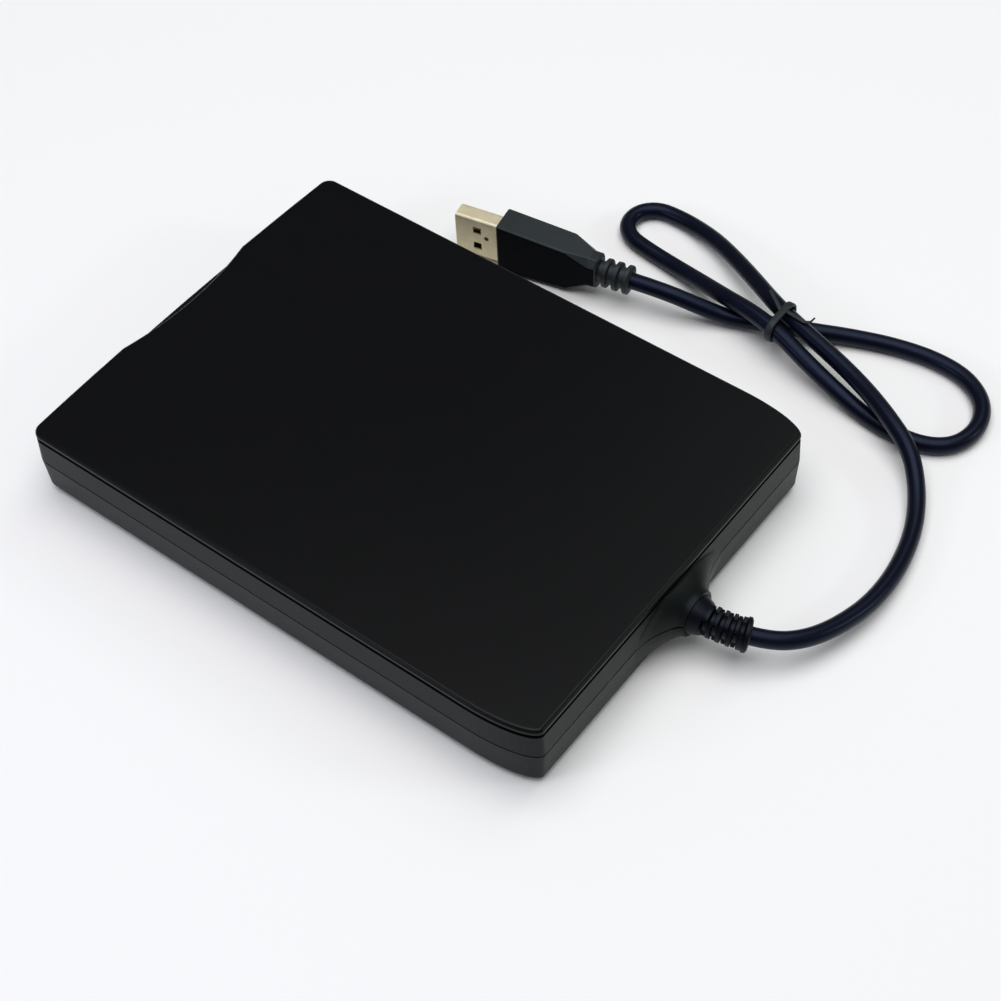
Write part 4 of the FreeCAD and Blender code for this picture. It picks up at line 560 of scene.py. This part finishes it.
def makeGrip():
    # a chamfered block that narrows a little, then in flat facets to the waist; its broad faces are blasted
    # and their colour is painted darker as shade
    halfT, halfH = plug["thickness"] / 2, plug["height"] / 2
    waistT, waistH = plug["waistThickness"] / 2, plug["waistHeight"] / 2
    grip, end = plug["gripLength"], plug["bodyLength"]
    rearT, rearH = plug["rearThickness"] / 2, plug["rearHeight"] / 2
    front, back = plug["frontChamfer"], plug["endChamfer"]
    sections = [
        chamferedSection(0.0, halfT - front, halfH - front, front),
        chamferedSection(front, halfT, halfH, plug["edge"]),
        chamferedSection(grip, rearT, rearH, plug["edge"]),
        chamferedSection(end - plug["waistLength"], waistT, waistH, plug["waistEdge"]),
        chamferedSection(end - back, waistT, waistH, plug["waistEdge"]),
        chamferedSection(end, waistT - back, waistH - back, plug["waistEdge"]),
    ]
    mesh = gridMesh("plugGrip", plugPlace(np.array(sections)), plug["sharpAngle"])
    piece = standIn("plugGrip", mesh, "plug_overmould")
    # the broad faces take the copy of the PVC painted darker as shade
    mesh.materials.append(paints["blastedPvc"])
    turn = math.radians(plug["heading"])
    broad = Vector((-math.sin(turn), math.cos(turn), 0))
    for face in mesh.polygons:
        face.material_index = int(abs(face.normal.dot(broad)) > plug["broadCosine"])
    bevel = piece.modifiers.new("softEdges", "BEVEL")
    bevel.width = plug["softEdge"] * mm
    bevel.segments = 3
    bevel.limit_method = "ANGLE"
    bevel.angle_limit = math.radians(plug["softAngle"])
    return piece


def makeGripRings():
    # a slightly flat neck whose radius rises to a rounded ring at each pitch
    end = plug["reliefEnd"]
    x = np.linspace(plug["bodyLength"] - plug["neckInside"], end, plug["ringSteps"])
    pitch = (end - plug["bodyLength"]) / plug["ringCount"]
    phase = (end - x) / pitch
    wave = np.cos(2 * np.pi * (phase - plug["ringShift"]))
    swell = smoothStep(wave, *plug["ringSwell"]) * (x > plug["bodyLength"])
    radius = plug["reliefRadius"] + (plug["ringRadius"] - plug["reliefRadius"]) * swell
    radius = radius - plug["tipRounding"] * smoothStep(x, end - plug["tipRounding"], end)
    around = np.linspace(0, 2 * np.pi, plug["ringSides"], endpoint=False)
    y = radius[:, None] * np.cos(around) * plug["ringFlatness"]
    z = radius[:, None] * np.sin(around)
    grid = np.stack([np.broadcast_to(x[:, None], y.shape), y, z], axis=-1)
    mesh = gridMesh("plugRings", plugPlace(grid), plug["ringSharpAngle"])
    return addPiece("plugRings", mesh, "plug_overmould")


gripPiece = makeGrip()
ringPiece = makeGripRings()
print("plug grip made")


# cable tie

tie = {
    "place": 42.6,
    "strands": [(-86.15, 7.77), (-80.6, 7.77), (-86.55, 3.47)],
    "clearance": 0.45,
    "thickness": 0.75,
    "width": 1.8,
    "squareness": (0.45, 0.6),      # powers that square the band's section, across and deep
    "arcSteps": 17,
    "bandSides": 20,
    "tails": {
        "tieTailFront": [(-84.0, 42.2, 10.6), (-85.0, 40.4, 11.5), (-85.8, 38.6, 12.5),
                         (-86.2, 37.5, 13.1)],
        "tieTailBack": [(-84.9, 43.2, 10.4), (-84.6, 46.0, 10.3), (-84.4, 48.4, 10.2),
                        (-85.2, 49.6, 10.3), (-86.3, 50.1, 11.1)],
    },
    "tailWidth": 1.1,
    "tailFlatness": 0.6,
    "tailTaper": 0.35,
    "tailSteps": 25,
    "tailSides": 16,
    "sharpAngle": 50.0,
}


def makeTie():
    # the band follows the three strands at a fixed distance, so its outline is three arcs and three runs
    centre = np.array(tie["strands"])
    order = np.argsort(np.arctan2(*(centre - centre.mean(0)).T[::-1]))
    corners = centre[order]
    before = corners - np.roll(corners, 1, axis=0)
    after = np.roll(corners, -1, axis=0) - corners
    startTurn = np.arctan2(before[:, 1], before[:, 0]) - np.pi / 2
    endTurn = np.arctan2(after[:, 1], after[:, 0]) - np.pi / 2
    sweep = (endTurn - startTurn) % (2 * np.pi)
    share = np.linspace(0, 1, tie["arcSteps"])
    turns = startTurn[:, None] + sweep[:, None] * share
    reach = lead["diameter"] / mm / 2 + tie["clearance"] + tie["thickness"] / 2
    out = np.stack([np.cos(turns), np.sin(turns)], axis=-1)
    spine = (corners[:, None, :] + out * reach).reshape(-1, 2)
    out = out.reshape(-1, 2)
    profileTurn = np.linspace(0, 2 * np.pi, tie["bandSides"], endpoint=False)
    squareAcross, squareDeep = tie["squareness"]
    across = np.sign(np.cos(profileTurn)) * np.abs(np.cos(profileTurn)) ** squareAcross * tie["width"] / 2
    deep = np.sign(np.sin(profileTurn)) * np.abs(np.sin(profileTurn)) ** squareDeep * tie["thickness"] / 2
    x = spine[:, 0][:, None] + out[:, 0][:, None] * deep
    z = spine[:, 1][:, None] + out[:, 1][:, None] * deep
    y = np.broadcast_to(tie["place"] + across, x.shape)
    loop = np.stack([x, y, z], axis=-1)
    loop = np.concatenate([loop, loop[:1]])
    return standIn("tieBand", gridMesh("tieBand", loop * mm, tie["sharpAngle"]), "cable_tie")


def makeTieTail(name, points):
    # a free end: a flat strip through its points, narrowing a little to its tip
    points = np.array(points)
    share = np.linspace(0, len(points) - 1, tie["tailSteps"])
    spine = np.stack([np.interp(share, np.arange(len(points)), row) for row in points.T], axis=-1)
    spine[1:-1] = (spine[:-2] + 2 * spine[1:-1] + spine[2:]) / 4
    way = np.gradient(spine, axis=0)
    way /= np.linalg.norm(way, axis=1)[:, None]
    across = np.cross(way, [1.0, 0.0, 0.0])
    across /= np.linalg.norm(across, axis=1)[:, None]
    deep = np.cross(across, way)
    turn = np.linspace(0, 2 * np.pi, tie["tailSides"], endpoint=False)
    half = tie["tailWidth"] / 2 * (1 - tie["tailTaper"] * share / share[-1])
    grid = (spine[:, None, :] + deep[:, None, :] * (half[:, None] * np.cos(turn))[:, :, None]
            + across[:, None, :] * (half[:, None] * tie["tailFlatness"] * np.sin(turn))[:, :, None])
    return addPiece(name, gridMesh(name, grid * mm, tie["sharpAngle"]), "cable_tie")


tiePiece = makeTie()
tailPieces = [makeTieTail(name, points) for name, points in tie["tails"].items()]
print("tie made")


# carried-over parts

dressing = {
    "nodes": ["lower_shell", "upper_shell", "top_panel", "front_bezel", "slot_door", "eject_button",
              "led_lens", "rubber_feet", "plug_shell"],
    "mergeDistance": 2e-6,          # metres
    "flatAngle": 0.6,               # faces that turn less than this become one
    "sharpAngle": 30.0,
}


def dressPart(node):
    # a merged copy of the part whose flat faces shade flat and whose rounded edges shade round
    mesh = nodes[node].data.copy()
    mesh.materials.clear()
    work = bmesh.new()
    work.from_mesh(mesh)
    bmesh.ops.remove_doubles(work, verts=work.verts, dist=dressing["mergeDistance"])
    bmesh.ops.dissolve_limit(work, angle_limit=math.radians(dressing["flatAngle"]), verts=work.verts,
                             edges=work.edges)
    work.to_mesh(mesh)
    work.free()
    mesh.shade_smooth()
    mesh.set_sharp_from_angle(angle=math.radians(dressing["sharpAngle"]))
    name = "".join(word.capitalize() if index else word for index, word in enumerate(node.split("_")))
    piece = standIn(name, mesh, node)
    flats = piece.modifiers.new("flatFaces", "WEIGHTED_NORMAL")
    flats.weight = 100
    flats.keep_sharp = True
    return piece


for node in dressing["nodes"]:
    dressPart(node)

# the springs shorten towards their fixed front ends as the slider comes forward; here they only get a
# dressed copy with a mesh of its own
springs = {
    "node": "slider_springs",
    "joint": "eject_slide",
    "travel": 0.005,
    "fixedEnd": -0.014,
    "length": 0.0306,
}
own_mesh(dressPart(springs["node"]))
for node, part in nodes.items():
    part.data.materials.clear()
    part.data.materials.append(paints[slotFinish[slotOf[node]]])
print("parts painted")
